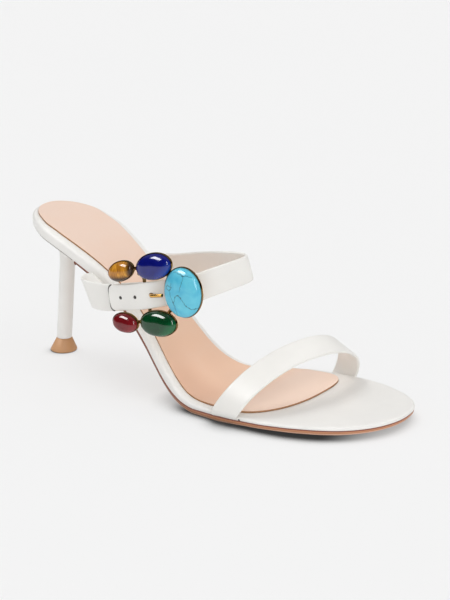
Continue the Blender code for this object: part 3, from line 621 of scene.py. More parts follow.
def floor_paper(name):
    """Pale paper with an even glow of its own and painted shade: darker near the shoe and darkest where the
    shoe touches it.
    """
    f = Finish(name, (0.25, 0.25, 0.25), 0.8, Specular_IOR_Level=0.1, Emission_Strength=1.0)
    # Painted shade: the shade near the shoe and under it darkens both the paper's colour and its glow.
    lean = f.node("CombineXYZ", X=SHADE_LEAN[0], Y=SHADE_LEAN[1], Z=SHADE_LEAN[2])
    near = f.node("AmbientOcclusion", Distance=SHADE_REACH, Normal=lean.outputs["Vector"])
    near.samples = SHADE_SAMPLES
    x, _ = f.axes()
    tread = f.math("MULTIPLY", f.step(x, *TREAD_REAR), f.step(x, *TREAD_FRONT))
    touching = f.math("MAXIMUM", tread, f.ranged(x, *TIP_FRONT))
    lowest = f.ranged(touching, 0.0, 1.0, RAISED_SHADE, CONTACT_SHADE)
    clear = f.step(near.outputs["AO"], *SHADE_RANGE)
    open_sky = f.math("ADD", clear, f.math("MULTIPLY", lowest, f.math("SUBTRACT", 1.0, clear)))
    paper = f.clouded(3.0, 2.0, (0.247, 0.247, 0.247), (0.253, 0.253, 0.253))
    f.colour(f.mix(open_sky, (0.02, 0.02, 0.02), paper))
    f.feed(f.shader, Emission_Color=f.mix(open_sky, BLACK, (FLOOR_GLOW, FLOOR_GLOW, FLOOR_GLOW)))
    return f.material


def backdrop_paper(name):
    f = Finish(name, BLACK, 1.0, Specular_IOR_Level=0.0, Emission_Strength=BACKDROP_LEVEL)
    f.feed(f.shader, Emission_Color=f.clouded(0.05, 2.0, (0.995, 0.995, 0.995), WHITE))
    return f.material


# ---- meshes ----

def circle(count):
    """The angles of so many points evenly round a circle."""
    return np.arange(count) * 2.0 * math.pi / count


def world(points):
    return np.asarray(points, float) * MM + ORIGIN


def placed(name, data):
    """A new object in the scene."""
    made = bpy.data.objects.new(name, data)
    bpy.context.scene.collection.objects.link(made)
    return made


def sharpen(mesh, sharp):
    """Shades the edges over this many degrees sharp, if a number is given."""
    if sharp is not None:
        mesh.set_sharp_from_angle(angle=math.radians(sharp))


def piece(name, points, faces, finishes, indices, uv=None, sharp=None):
    """A mesh of the shoe, given in millimetres."""
    mesh = bpy.data.meshes.new(name)
    mesh.from_pydata(world(points).tolist(), [], faces)
    mesh.validate()
    made = placed(name, mesh)
    for finish in finishes:
        mesh.materials.append(finish)
    mesh.polygons.foreach_set("material_index", np.asarray(indices, np.int32))
    if uv is not None:
        uv_layer = mesh.uv_layers.new(name="UVMap")
        loops = np.empty(len(mesh.loops), np.int32)
        mesh.loops.foreach_get("vertex_index", loops)
        uv_layer.data.foreach_set("uv", np.asarray(uv, np.float32)[loops].ravel())
    mesh.shade_smooth()
    sharpen(mesh, sharp)
    return made


def grid_faces(rows, count, closed=True):
    """Quads between rows of the same number of points."""
    faces = []
    for r in range(rows - 1):
        for k in range(count if closed else count - 1):
            n = (k + 1) % count
            faces.append((r * count + k, r * count + n, (r + 1) * count + n, (r + 1) * count + k))
    return faces


def fan(start, count, middle):
    return [(start + k, start + (k + 1) % count, middle) for k in range(count)]


def strip_cap(start, count):
    """Faces across a ring whose points 0 and count / 2 are its two ends."""
    half = count // 2
    faces = [(start, start + 1, start + count - 1)]
    for k in range(1, half - 1):
        faces.append((start + k, start + k + 1, start + count - k - 1, start + count - k))
    faces.append((start + half - 1, start + half, start + half + 1))
    return faces


def recalculate(made):
    """Turns all faces of a closed piece outwards."""
    work = bmesh.new()
    work.from_mesh(made.data)
    bmesh.ops.recalc_face_normals(work, faces=work.faces)
    work.to_mesh(made.data)
    work.free()


def lofted(name, rings, finishes, caps="strip", row_finish=None, cap_finish=(0, 0), sharp=None, uv=None):
    """A closed piece through rings with the same number of points; row_finish names each band's finish."""
    count = len(rings[0])
    points = [p for ring in rings for p in ring]
    faces = grid_faces(len(rings), count)
    indices = [row_finish(r) if row_finish else 0 for r in range(len(rings) - 1) for _ in range(count)]
    last = (len(rings) - 1) * count
    if caps == "strip":
        ends = (strip_cap(0, count), strip_cap(last, count))
    else:
        points += [np.mean(rings[0], axis=0), np.mean(rings[-1], axis=0)]
        ends = (fan(0, count, len(points) - 2), fan(last, count, len(points) - 1))
    for cap, finish in zip(ends, cap_finish):
        faces += cap
        indices += [finish] * len(cap)
    made = piece(name, points, faces, finishes, indices, uv, sharp)
    recalculate(made)
    return made


def apply_modifier(made, change):
    with bpy.context.temp_override(object=made, active_object=made, selected_objects=[made]):
        bpy.ops.object.modifier_apply(modifier=change.name)


def cut(made, cutter, sharp=None):
    change = made.modifiers.new("Difference", "BOOLEAN")
    change.solver = "EXACT"
    change.object = cutter
    change.material_mode = "TRANSFER"
    apply_modifier(made, change)
    bpy.data.objects.remove(cutter)
    sharpen(made.data, sharp)


def tube(name, centres, radius, sides, finishes):
    """A round bar bent through its centres; radius is one number or one for each centre."""
    centres = [Vector(c) for c in centres]
    radii = np.broadcast_to(radius, len(centres))
    side = (centres[1] - centres[0]).orthogonal().normalized()
    rings = []
    for i, centre in enumerate(centres):
        along = (centres[min(i + 1, len(centres) - 1)] - centres[max(i - 1, 0)]).normalized()
        side = (side - along * side.dot(along)).normalized()
        other = along.cross(side)
        ring = [centre + (side * math.cos(a) + other * math.sin(a)) * radii[i] for a in circle(sides)]
        rings.append([tuple(p) for p in ring])
    return lofted(name, rings, finishes, caps="fan", sharp=SHARP_ROUND)


def between(p, q, t_p, t_q, t):
    return (t_q - t) / (t_q - t_p) * p + (t - t_p) / (t_q - t_p) * q


def smooth_path(rows, steps, measure=lambda r: r):
    """Catmull and Rom's curve through the rows; measure says what counts as distance along it."""
    rows = np.array(rows, float)
    points = np.vstack((2 * rows[0] - rows[1], rows, 2 * rows[-1] - rows[-2]))
    lengths = np.sqrt(np.linalg.norm(np.diff(measure(points), axis=0), axis=1))
    knots = np.concatenate(([0.0], np.cumsum(lengths)))
    found = []
    for i in range(1, len(points) - 2):
        t0, t1, t2, t3 = knots[i - 1:i + 3]
        p0, p1, p2, p3 = points[i - 1:i + 3]
        for t in t1 + (t2 - t1) * np.arange(steps) / steps:
            a1, a2, a3 = between(p0, p1, t0, t1, t), between(p1, p2, t1, t2, t), between(p2, p3, t2, t3, t)
            found.append(between(between(a1, a2, t0, t2, t), between(a2, a3, t1, t3, t), t1, t2, t))
    found.append(rows[-1])
    return np.array(found)


def monotone(knots, values, at):
    """Smooth interpolation that never overshoots its knots (Fritsch and Carlson's slopes)."""
    step = np.diff(knots)
    slope = np.diff(values) / step
    tangent = np.empty(len(knots))
    tangent[0], tangent[-1] = slope[0], slope[-1]
    for i in range(1, len(knots) - 1):
        before, after = slope[i - 1], slope[i]
        if before * after <= 0.0:
            tangent[i] = 0.0
            continue
        w1 = 2.0 * step[i] + step[i - 1]
        w2 = step[i] + 2.0 * step[i - 1]
        tangent[i] = (w1 + w2) / (w1 / before + w2 / after)
    i = np.clip(np.searchsorted(knots, at, side="right") - 1, 0, len(step) - 1)
    s = (at - knots[i]) / step[i]
    return (
        (1 + 2 * s) * (1 - s) ** 2 * values[i]
        + s * (1 - s) ** 2 * step[i] * tangent[i]
        + s * s * (3 - 2 * s) * values[i + 1]
        + s * s * (s - 1) * step[i] * tangent[i + 1]
    )


# ---- the sole ----

def turn_of(x):
    """Stations are spaced by this turn, closest at the toe and the back of the heel."""
    return np.arccos(np.clip(1.0 - 2.0 * np.asarray(x, float) / SOLE_LENGTH, -1.0, 1.0))


def sole_x(turn):
    return SOLE_LENGTH * (1.0 - np.cos(turn)) / 2.0


SOLE_TABLE = dict(zip(("x", "lateral", "medial", "top", "seam", "tread"), np.array(SOLE_ROWS, float).T))
SOLE_KNOTS = turn_of(SOLE_TABLE["x"])


def sole(column, x):
    return monotone(SOLE_KNOTS, SOLE_TABLE[column], turn_of(x))


def outline(x_from, x_to):
    """The outline in plan as one loop: from its rear point round the lateral side to the toe and back."""
    turns = np.linspace(0.0, math.pi, SOLE_STATIONS)
    inside = (turns > turn_of(x_from) + STATION_MARGIN) & (turns < turn_of(x_to) - STATION_MARGIN)
    xs = np.concatenate(([x_from], sole_x(turns[inside]), [x_to]))
    lateral = np.column_stack((xs, -sole("lateral", xs)))
    medial = np.column_stack((xs, sole("medial", xs)))
    rear = (lateral[:1] + medial[:1]) / 2.0
    tip = (lateral[-1:] + medial[-1:]) / 2.0
    start = 1 if x_from == 0.0 else 0
    end = -1 if x_to == SOLE_LENGTH else None
    return np.concatenate((rear, lateral[start:end], tip, medial[start:end][::-1]))


def inset(loop, distance):
    """The loop moved inwards, by one distance or by one for each point."""
    ahead, behind = np.roll(loop, -1, axis=0), np.roll(loop, 1, axis=0)
    along = ahead - behind
    along /= np.linalg.norm(along, axis=1)[:, None]
    inward = np.column_stack((-along[:, 1], along[:, 0]))
    return loop + inward * np.broadcast_to(distance, len(loop))[:, None]


def layer(loop, column, above=0.0):
    """The loop laid on one of the sole's heights."""
    return np.column_stack((loop, sole(column, loop[:, 0]) + above))


def narrowed(loop, share):
    """The loop drawn in towards its own middle line, station by station."""
    half = len(loop) // 2
    partner = np.concatenate(([0], np.arange(len(loop) - 1, half, -1), [half], np.arange(half - 1, 0, -1)))
    middle = (loop + loop[partner]) / 2.0
    return middle + (loop - middle) * share


def plate(name, side, ring, finishes, under=0, sharp=None):
    """A closed plate: side has rows of inset, height and finish of the band above, under is its lower finish.

    ring(inset, height, share) gives the points of one row; share draws it in towards the middle line.
    """
    low, high = side[0], side[-1]
    rows = [(*low[:2], share, under) for share in CROSS_SHARES[::-1]]
    rows += [(into, height, 1.0, band) for into, height, band in side]
    rows += [(*high[:2], share, 0) for share in CROSS_SHARES]
    rings = [ring(into, height, share) for into, height, share, _ in rows]
    return lofted(name, rings, finishes, row_finish=lambda r: rows[r][-1], cap_finish=(under, 0), sharp=sharp)


def footbed(leather, recess_shade):
    """The wrapped footbed, nicked on either side of the toe strap's lateral foot; the nicks are lined with
    painted shade.
    """
    edge = outline(0.0, SOLE_LENGTH)

    def ring(into, height, share):
        loop = narrowed(inset(edge, into), share)
        return (1.0 - height) * layer(loop, "seam") + height * layer(loop, "top")

    side = smooth_path(FOOTBED_SIDE, FOOTBED_SIDE_STEPS, lambda r: r * (1.0, FOOTBED_HEIGHT))
    cover = plate("footbed_cover", [(into, height, 0) for into, height in side], ring, [leather, recess_shade])
    for x in NOTCHES_X:
        y, z = -sole("lateral", x), sole("seam", x) + NOTCH_LIFT
        ends = [(x, y + reach, z) for reach in NOTCH_REACH]
        cut(cover, tube("notch", ends, NOTCH_RADIUS, WIRE_SIDES, [recess_shade]))
    return cover


def outsole(finishes):
    """Finishes: waxed edge, bevel with painted light and shade, tread and the line of painted shade under the
    footbed.
    """
    edge = outline(BREAST_X, SOLE_LENGTH)

    def ring(into, height, share):
        loop = narrowed(inset(edge, into), share)
        low, high = layer(loop, "tread"), layer(loop, "seam", -SEAM_GAP)
        thin = np.clip((SHANK_THIN_TO - loop[:, 0]) / (SHANK_THIN_TO - BREAST_X), 0.0, 1.0)
        low[:, 2] += (high[:, 2] - low[:, 2]) * SHANK_THINNING * thin
        return (1.0 - height) * low + height * high

    return plate("outsole_leather", OUTSOLE_SIDE, ring, finishes, under=2, sharp=SHARP_SOLE)


def sock_outline():
    """The footbed's outline less its margins, closed off round the tip ahead of the toe strap's feet."""
    edge = outline(0.0, SOLE_LENGTH)
    away = np.clip(edge[:, 0] / SOCK_MARGIN_RUN, 0.0, 1.0)
    margin = np.where(edge[:, 1] < 0, SOCK_MARGIN_LATERAL, SOCK_MARGIN_MEDIAL)
    loop = inset(edge, SOCK_MARGIN_REAR + (margin - SOCK_MARGIN_REAR) * away)
    half = len(loop) // 2
    keep = int(np.sum(loop[:half, 0] < SOCK_STRAIGHT_X))
    lateral, medial = loop[:keep], loop[-(keep - 1):]
    start_x, middle = (lateral[-1] + medial[0]) / 2.0
    reach = (medial[0][1] - lateral[-1][1]) / 2.0
    cap_lateral, cap_medial = [], []
    for turn in SOCK_TIP_TURNS:
        share = math.sin(turn) ** (2.0 / SOCK_TIP_SQUARENESS)
        narrow = math.cos(turn) ** (2.0 / SOCK_TIP_SQUARENESS)
        x = start_x + (SOCK_TIP_X - start_x) * share
        centre = middle + SOCK_TIP_SHIFT * share ** 2
        cap_lateral.append((x, centre - reach * narrow))
        cap_medial.append((x, centre + reach * narrow))
    tip = [(SOCK_TIP_X, middle + SOCK_TIP_SHIFT)]
    return np.concatenate((lateral, cap_lateral, tip, cap_medial[::-1], medial))


def sock(finishes):
    """Finishes: the lining leather and the paint on its edge."""
    edge = sock_outline()
    thick = GAP + SOCK_THICK - CLOSE_GAP

    def ring(into, height, share):
        return layer(narrowed(inset(edge, into), share), "top", CLOSE_GAP + thick * height / SOCK_SIDE[-1][1])

    return plate("sock_lining", SOCK_SIDE, ring, finishes, under=1)


# ---- the heel ----

def column_centre(z):
    return COLUMN_FOOT_X + COLUMN_LEAN * z / COLUMN_TOP_Z


def turned(centre_x, radius, z):
    """A level ring of the heel column or the top piece, from its rear point round the lateral side."""
    angles = math.pi + circle(HEEL_SIDES)
    x, y = centre_x + radius * np.cos(angles), radius * np.sin(angles)
    return np.column_stack((x, y, np.full(HEEL_SIDES, z)))


def even_loop(loop, count):
    """The same outline with points an equal distance apart."""
    closed = np.vstack((loop, loop[:1]))
    travelled = np.concatenate(([0.0], np.cumsum(np.linalg.norm(np.diff(closed, axis=0), axis=1))))
    at = np.arange(count) * travelled[-1] / count
    return np.column_stack([np.interp(at, travelled, closed[:, i]) for i in range(2)])


def heel(finishes):
    """Finishes: the leather of the cover and the shade in its seam under the footbed."""
    seat = even_loop(inset(outline(0.0, BREAST_X - HEEL_BLOCK_INSET), HEEL_BLOCK_INSET), HEEL_SIDES)
    under = layer(seat, "seam", -GAP)
    column = turned(column_centre(COLUMN_TOP_Z), COLUMN_RADIUS, COLUMN_TOP_Z)
    foot = TOP_PIECE_HEIGHT + CLOSE_GAP
    rings = [turned(column_centre(foot), COLUMN_RADIUS - inwards, foot + up) for inwards, up in COLUMN_EDGE]
    for z in np.linspace(foot + COLUMN_EDGE_HEIGHT, COLUMN_TOP_Z, COLUMN_ROWS):
        rings.append(turned(column_centre(z), COLUMN_RADIUS, z))
    flare = np.array(HEEL_FLARE)
    for up in np.linspace(0.0, 1.0, HEEL_FLARE_ROWS)[1:]:
        out = monotone(flare[:, 0], flare[:, 1], np.array([up]))[0]
        rings.append(column + (under - column) * np.array((out, out, up)))
    rings[-1] = rings[-1] - (0.0, 0.0, HEEL_SEAM_HEIGHT)
    last = len(rings) - 1
    for into, depth in HEEL_SEAM:
        rings.append(layer(inset(seat, into), "seam", -GAP - depth))
    return lofted("heel_cover", rings, finishes, row_finish=lambda r: int(r >= last))


def top_piece(rubber):
    rings = [turned(column_centre(z), radius, z) for radius, z in TOP_PIECE_SIDE]
    return lofted("heel_tip", rings, [rubber], caps="fan")


# ---- straps ----

def strap_section(width, thick):
    """Points round a folded strap, as distance across from its upper edge and distance outwards."""
    r = thick / 2.0
    crown = PILLOW * min(1.0, thick)
    upper = [(r - r * math.cos(a), r * math.sin(a)) for a in SECTION_ROUND]
    outer = [
        (r + (width - thick) * s, r + crown * math.sin(math.pi * s) ** PILLOW_ROUNDNESS) for s in SECTION_FLAT
    ]
    lower = [(width - r + r * math.cos(a), r * math.sin(a)) for a in SECTION_ROUND[::-1]]
    inner = [(r + (width - thick) * s, -r) for s in SECTION_FLAT[::-1]]
    return np.array(upper + outer + lower + inner)


def strap_frames(path):
    """At each row of a path: its upper edge, the ways across and outwards, its width and its thickness."""
    upper, lower, thick = path[:, 0:3], path[:, 3:6], path[:, 6]
    along = np.gradient((upper + lower) / 2.0, axis=0)
    across = lower - upper
    width = np.linalg.norm(across, axis=1)
    out = np.cross(along, across)
    out /= np.linalg.norm(out, axis=1)[:, None]
    return upper, across / width[:, None], out, width, thick


def strap(name, path, finishes, **options):
    rings = []
    for start, across, out, width, thick in zip(*strap_frames(path)):
        section = strap_section(width, thick)
        rings.append(start + across * section[:, :1] + out * section[:, 1:])
    return lofted(name, rings, finishes, **options)


def middle_of(rows):
    return (rows[:, 0:3] + rows[:, 3:6]) / 2.0


def strap_path(rows, foot, thick):
    """A path through a table's rows, as thick as its foot says and then as the strap is."""
    thicks = foot + (thick,) * (len(rows) - len(foot))
    return smooth_path(np.column_stack((rows, thicks)), STRAP_STEPS, middle_of)


def tab_rows(foot, inward):
    """The skived end of the toe strap, turned in over the seam."""
    rows = []
    for depth in TOE_TAB_DEPTHS:
        row = foot.copy()
        row[[1, 4]] += inward * depth
        row[[2, 5]] = sole("seam", foot[[0, 3]]) + TAB_LIFT
        row[6] = TAB_THICK
        rows.append(row)
    return rows


def toe_strap_path():
    """From the lateral foot over the toes to the medial one: a flattened arch that leans and tips forward."""
    lateral, medial = np.array(TOE_LATERAL), np.array(TOE_MEDIAL)
    rows = []
    for s in np.concatenate(([-1.0], np.sin(TOE_TURNS), [1.0])):
        rise = (1.0 - abs(s) ** TOE_FLATNESS) ** TOE_FULLNESS
        x, y = lateral + (medial - lateral) * (s + 1.0) / 2.0
        tilt = TOE_TILT * rise * (1.0 + TOE_TILT_GROWTH * s)
        centre = np.array((x + TOE_LEAN * rise, y, TOE_FOOT_Z + TOE_RISE * rise))
        half = np.array((math.cos(tilt), TOE_SKEW + TOE_TWIST * s, -math.sin(tilt)))
        half *= TOE_WIDTH / 2.0 * (1.0 - TOE_NARROWING * rise)
        rows.append(np.concatenate((centre - half, centre + half, [STRAP_THICK])))
    return np.array([*tab_rows(rows[0], 1.0), *rows, *tab_rows(rows[-1], -1.0)[::-1]])


def rounded_end(path):
    """The path with the rows that round the two corners of its free end."""
    last = path[-1]
    upper, lower = last[0:3], last[3:6]
    ahead = upper + lower - path[-2][0:3] - path[-2][3:6]
    ahead /= np.linalg.norm(ahead)
    across = lower - upper
    across /= np.linalg.norm(across)
    rows = []
    for turn in TAIL_CORNER_TURNS:
        forward = ahead * TAIL_CORNER * math.sin(turn)
        narrower = across * TAIL_CORNER * (1.0 - math.cos(turn))
        rows.append(np.concatenate((upper + forward + narrower, lower + forward - narrower, last[6:])))
    return np.vstack((path, rows))


def end_bead(path, finish):
    """Edge paint and painted shade on the cut edge: a fine dark bead that follows the rounded end of the
    strap.
    """
    start, across, out, width, thick = strap_frames(path)
    lift = out * (thick * END_BEAD_LIFT)[:, None]
    upper = start + lift
    lower = start + across * width[:, None] + lift
    loop = np.vstack((upper[-END_BEAD_ROWS:], lower[-END_BEAD_ROWS:][::-1]))
    radius = np.full(len(loop), END_BEAD_RADIUS)
    radius[[0, -1]] *= END_BEAD_TIP
    return tube("strap_edge_paint_and_shade", loop, radius, END_BEAD_SIDES, [finish])


def strap_hole(path, x, radius, recess_shade):
    """A round cutter through the strap where its middle line reaches x on its way back to the heel."""
    middle = middle_of(path)
    turned_back = int(np.argmax(middle[:, 0]))
    row = turned_back + int(np.argmin(np.abs(middle[turned_back:, 0] - x)))
    across = path[row, 3:6] - path[row, 0:3]
    out = np.cross(middle[row + 1] - middle[row - 1], across)
    out *= HOLE_REACH / np.linalg.norm(out)
    return tube("hole", [middle[row] - out, middle[row] + out], radius, HOLE_SIDES, [recess_shade])


# ---- the buckle ----

BUCKLE_RIGHT = (BUCKLE_FORWARD - BUCKLE_OUTWARD * BUCKLE_FORWARD.dot(BUCKLE_OUTWARD)).normalized()
BUCKLE_UP = BUCKLE_OUTWARD.cross(BUCKLE_RIGHT)


def buckle_point(u, v, d):
    return BUCKLE_ORIGIN + BUCKLE_RIGHT * u + BUCKLE_UP * v + BUCKLE_OUTWARD * d


def on_stone(stone, points):
    """How far points lie to the right of the stone's middle and above it."""
    local = points - np.array(buckle_point(stone.u, stone.v, 0.0))
    return local @ np.array(BUCKLE_RIGHT), local @ np.array(BUCKLE_UP)


def oval(stone, inwards, d, share=1.0, sag=0.0, lean=0.0):
    """A ring round the stone: drawn inwards by millimetres, then to a share, sagging and leaning back."""
    tilt = math.radians(stone.tilt)
    a = circle(OVAL_SIDES)
    half = stone.height / 2.0 - inwards
    along = (stone.width / 2.0 - inwards) * share * np.cos(a)
    up = half * (share * np.sin(a) - sag)
    return [
        tuple(buckle_point(
            stone.u + x * math.cos(tilt) - y * math.sin(tilt),
            stone.v + x * math.sin(tilt) + y * math.cos(tilt),
            d - lean * y / half,
        ))
        for x, y in zip(along, up)
    ]


def setting(stone, finishes):
    """A closed cup with a puffed, polished back and a thin lip that holds the stone, darkened by painted
    shade and painted dark reflection.
    """
    rings = []
    for share in np.sin(PUFF_TURNS):
        depth = (1.0 - share ** PUFF_ROUNDNESS) ** 0.5
        rings.append(oval(stone, 0.0, SETTING_RIM + (SETTING_BACK - SETTING_RIM) * depth, share))
    rings += [oval(stone, inwards, d) for inwards, d in SETTING_LIP]
    return lofted("setting_" + stone.name, rings, finishes, caps="fan", sharp=SHARP_ROUND,
                  row_finish=lambda r: int(r >= len(PUFF_TURNS) - 1))


def gem_dome(stone, finish):
    """A cabochon that fills its setting; its UVs are places on it, as shares of its width and height."""
    rings = [oval(stone, GEM_EDGE, GEM_FOOT)]
    for turn in GEM_TURNS:
        share = math.cos(turn)
        swell = (1.0 - share ** GEM_ROUNDNESS) ** 0.5
        d = GEM_BASE + stone.dome * swell
        rings.append(oval(stone, GEM_EDGE, d, share, GEM_SAG * (1.0 - share), GEM_LEAN))
    points = np.array([p for ring in rings for p in ring])
    points = np.vstack((points, np.mean(rings[0], axis=0), np.mean(rings[-1], axis=0)))
    right, up = on_stone(stone, points)
    uv = np.column_stack((right / stone.width, up / stone.height))
    return lofted("gem_" + stone.name + "_dome", rings, [finish], caps="fan", uv=uv)


def inside_line(p, line):
    """How deep each point lies inside a line of changing half width, from 0 outside to 1 on its middle."""
    line = np.array(line)
    best = np.zeros(len(p))
    for a, b in zip(line, line[1:]):
        along = b[:2] - a[:2]
        t = np.clip((p - a[:2]) @ along / (along @ along), 0.0, 1.0)
        away = np.linalg.norm(p - a[:2] - t[:, None] * along, axis=1)
        half = a[2] + (b[2] - a[2]) * t
        best = np.maximum(best, np.clip(VEIN_EDGE - away / half, 0.0, 1.0))
    return best


def turquoise_dome(stone, finish):
    """The big stone, fine enough to carry its veins as a value at each point."""
    made = gem_dome(stone, finish)
    change = made.modifiers.new("Subdivision", "SUBSURF")
    change.levels = change.render_levels = 1
    apply_modifier(made, change)
    points = np.array([v.co for v in made.data.vertices])
    x, y = on_stone(stone, (points - ORIGIN) / MM)
    wobble = np.column_stack((
        np.sin(2.1 * y + 0.7 * x) + np.sin(4.7 * y),
        np.sin(1.9 * x - 0.6 * y) + np.sin(5.3 * x),
    ))
    p = np.column_stack((x, y)) + VEIN_WOBBLE * wobble
    depth = np.max([inside_line(p, smooth_path(line, VEIN_STEPS)) for line in VEINS], axis=0)
    values = made.data.attributes.new("veins", "FLOAT", "POINT")
    values.data.foreach_set("value", depth.astype(np.float32))
    return made


def wire(name, centres, finish):
    return tube(name, [tuple(c) for c in centres], WIRE_RADIUS, WIRE_SIDES, [finish])


def prong_slot():
    """A cutter for the slot in the fixed strap's fold that the prong swings in."""
    half, deep = PRONG_SLOT_WIDTH / 2.0, PRONG_SLOT_DEPTH / 2.0
    corners = ((-half, -deep), (-half, deep), (half, deep), (half, -deep))
    rings = [[tuple(buckle_point(u, v, BAR_D + d)) for v, d in corners] for u in PRONG_SLOT_U]
    return lofted("prong_slot", rings, [])


# ---- the whole shoe ----

def dress(made, slot, *nodes):
    """The piece rides on the shoe and stands for these solids; slot is not used."""
    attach(made, "root")
    if nodes:
        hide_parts(*nodes)


def build_sole(recess_shade):
    leather = white_leather("white calf", (0.86, 0.845, 0.815))
    sock_edge = speckled("sock edge", 0.5, 400.0, 3.0, (0.36, 0.16, 0.065), (0.50, 0.26, 0.12))
    # Painted shade: the dark line along the top of the sole's edge under the footbed, and the grey line where
    # the heel's cover turns in under the seat.
    sole_seam_shade = speckled("sole seam shade", 0.5, 300.0, 3.0, (0.21, 0.06, 0.035), (0.31, 0.10, 0.06))
    heel_seam_shade = speckled("heel seam shade", 0.6, 300.0, 3.0, (0.40, 0.38, 0.35), (0.52, 0.50, 0.47))
    edge, bevel, tread = sole_edge("waxed sole edge"), sole_bevel("sole bevel"), sole_leather("sole leather")

    dress(footbed(leather, recess_shade), "white_leather", "footbed")
    dress(outsole([edge, bevel, tread, sole_seam_shade]), "sole_leather", "outsole")
    dress(sock([nude_leather("nude lining leather"), sock_edge]), "nude_leather", "sock")
    dress(heel([leather, heel_seam_shade]), "white_leather", "heel")
    dress(top_piece(tan_rubber("tan rubber")), "tan_rubber", "top_piece")


def build_straps(recess_shade):
    leather = white_leather("strap calf", (0.86, 0.845, 0.81))
    # The dark edge finish is edge paint together with painted shade of the gap under the tail's end.
    paint = speckled("strap edge paint and shade", 0.5, 500.0, 2.0, (0.055, 0.05, 0.045), (0.11, 0.10, 0.09))
    dress(strap("toe_strap_leather", toe_strap_path(), [leather]), "white_leather", "toe_strap")

    path = rounded_end(strap_path(INSTEP_ROWS, INSTEP_FOOT, STRAP_THICK))
    tail = strap("instep_strap_leather", path, [leather, paint, recess_shade], cap_finish=(0, 1))
    for x, radius in TAIL_HOLES:
        cut(tail, strap_hole(path, x, radius, recess_shade), SHARP_STRAP)
    dress(tail, "white_leather", "instep_strap")
    dress(end_bead(path, paint), "white_leather")

    path = strap_path(BUCKLE_STRAP_ROWS, BUCKLE_STRAP_FOOT, BUCKLE_STRAP_THICK)
    holder = strap("buckle_strap_leather", path, [leather])
    cut(holder, prong_slot(), SHARP_STRAP)
    dress(holder, "white_leather", "buckle_strap")


def build_buckle():
    metal = gold("gold plate", (0.72, 0.40, 0.10), (0.80, 0.47, 0.14))
    # The darkened gold is painted shade and painted dark reflection: on the lip round each stone, and on the
    # links and bar that lie behind the settings.
    shaded_gold = gold("gold with painted shade", (0.17, 0.11, 0.045), (0.27, 0.18, 0.075))
    for stone in STONES:
        nodes = ["buckle_frame"] if stone.name == "turquoise" else []
        dress(setting(stone, [metal, shaded_gold]), "gold_metal", *nodes)
    places = {stone.name: buckle_point(stone.u, stone.v, LINK_D) for stone in STONES}
    for a, b in SETTING_LINKS:
        dress(wire("link_" + a + "_" + b, [places[a], places[b]], shaded_gold), "gold_metal")
    bend = smooth_path([buckle_point(BAR_U, v, d) for v, d in BAR_BEND], WIRE_STEPS)
    dress(wire("buckle_bar", bend, shaded_gold), "gold_metal")

    ring = [
        buckle_point(BAR_U + PRONG_RING * math.cos(turn), 0.0, BAR_D + PRONG_RING * math.sin(turn))
        for turn in PRONG_RING_TURNS
    ]
    pin = smooth_path([buckle_point(u, 0.0, d) for u, d in PRONG_BEND], WIRE_STEPS)
    dress(wire("prong_ring", ring, metal), "gold_metal", "prong")
    dress(wire("prong_pin", pin, metal), "gold_metal")


def build_stones():
    finishes = {
        "turquoise": turquoise("turquoise"),
        "blue": plain_stone("blue stone", (0.001, 0.003, 0.13), (0.003, 0.007, 0.19), (0.004, 0.045, 0.34)),
        "brown": tiger_stone("brown stone"),
        "green": plain_stone(
            "green stone", (0.0005, 0.04, 0.009), (0.001, 0.055, 0.016), (0.002, 0.13, 0.04),
        ),
        "red": plain_stone("red stone", (0.14, 0.003, 0.006), (0.20, 0.007, 0.012), (0.26, 0.015, 0.02)),
    }
    for stone in STONES:
        make = turquoise_dome if stone.name == "turquoise" else gem_dome
        dress(make(stone, finishes[stone.name]), stone.name + "_stone", "gem_" + stone.name)


# ---- floor, light and camera ----

def staged(name, points, faces, finish):
    """A part of the set, given in metres."""
    mesh = bpy.data.meshes.new(name)
    mesh.from_pydata(points, [], faces)
    mesh.materials.append(finish)
    made = placed(name, mesh)
    return made


def build_floor():
    at = np.linspace(-FLOOR_HALF, FLOOR_HALF, FLOOR_ROWS)
    points = [(x, y, 0.0) for y in at for x in at]
    staged("floor", points, grid_faces(FLOOR_ROWS, FLOOR_ROWS, closed=False), floor_paper("floor paper"))


def build_backdrop():
    """Pale paper hung round the table; it closes the view but neither lights nor mirrors."""
    points = [
        (BACKDROP_RADIUS * math.cos(t), BACKDROP_RADIUS * math.sin(t), z)
        for z in np.linspace(0.0, BACKDROP_HEIGHT, BACKDROP_ROWS) for t in circle(BACKDROP_SIDES)
    ]
    faces = grid_faces(BACKDROP_ROWS, BACKDROP_SIDES)
    backdrop = staged("backdrop", points, faces, backdrop_paper("backdrop paper"))
    for kind in ("diffuse", "glossy", "transmission", "shadow"):
        setattr(backdrop, "visible_" + kind, False)


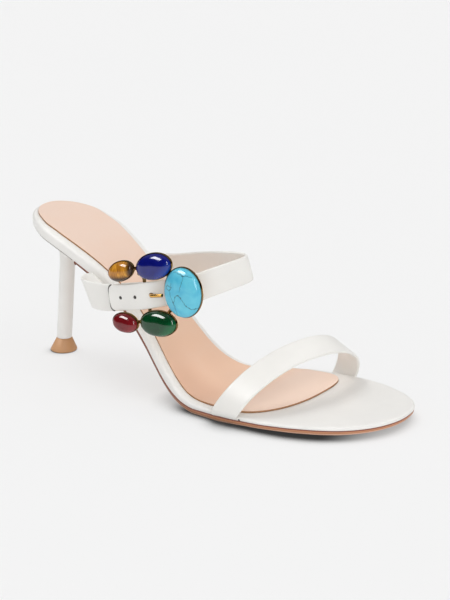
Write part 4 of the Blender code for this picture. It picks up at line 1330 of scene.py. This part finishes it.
def softbox(name, direction, width, height, radiance, seen_by):
    """A rectangular light far off, so that it falls evenly; its sizes are angles, as seen from the shoe."""
    data = bpy.data.lights.new(name, "AREA")
    data.shape = "RECTANGLE"
    data.size = 2.0 * LIGHT_DISTANCE * math.tan(math.radians(width) / 2.0)
    data.size_y = 2.0 * LIGHT_DISTANCE * math.tan(math.radians(height) / 2.0)
    data.energy = radiance * math.pi * data.size * data.size_y
    lamp = placed(name, data)
    towards = Vector(direction).normalized()
    lamp.location = towards * LIGHT_DISTANCE
    lamp.visible_glossy = seen_by != "matt"
    lamp.visible_diffuse = seen_by != "mirrors"
    lamp.rotation_mode = "QUATERNION"
    lamp.rotation_quaternion = towards.to_track_quat("Z", "Y")


def build_light():
    """A bright wall and ceiling on the medial side, a dark room on the lateral side, and the softboxes."""
    surround = bpy.data.worlds.new("studio")
    bpy.context.scene.world = surround
    surround.use_nodes = True
    nodes = Nodes(surround.node_tree)
    facing = nodes.dot(nodes.node("TexCoord").outputs["Generated"], Vector(BRIGHT_SIDE).normalized())
    light = nodes.ramp(facing, WORLD_STOPS, "EASE")
    nodes.feed(nodes.tree.nodes["Background"], Color=light, Strength=WORLD_STRENGTH)
    for box in SOFTBOXES:
        softbox(*box)


def build_camera():
    """Looks at one point of the shoe, from an azimuth and a height in degrees, and rolled."""
    data = bpy.data.cameras.new("camera")
    data.lens = CAMERA_LENS
    data.clip_start, data.clip_end = CAMERA_CLIP
    camera = placed("camera", data)
    a, e = math.radians(CAMERA_AZIMUTH), math.radians(CAMERA_HEIGHT)
    back = Vector((math.sin(a) * math.cos(e), -math.cos(a) * math.cos(e), math.sin(e)))
    right = Vector((math.cos(a), math.sin(a), 0.0))
    up = back.cross(right)
    turn = Matrix((right, up, back)).transposed().to_quaternion()
    roll = Matrix.Rotation(math.radians(CAMERA_ROLL), 3, "Z").to_quaternion()
    camera.rotation_mode = "QUATERNION"
    camera.rotation_quaternion = turn @ roll
    camera.location = Vector(world(CAMERA_AIM)) + back * CAMERA_DISTANCE * MM
    bpy.context.scene.camera = camera


def build_shoe():
    # Painted shade: the dark grey lining of the strap's punched holes and of the footbed's nicks.
    recess_shade = speckled("hole and notch shade", 0.8, 900.0, 2.0, (0.18, 0.175, 0.165), (0.30, 0.29, 0.28))
    build_sole(recess_shade)
    build_straps(recess_shade)
    build_buckle()
    build_stones()


build_camera()
build_floor()
build_backdrop()
build_light()
build_shoe()
bpy.context.scene.view_settings.view_transform = "Standard"
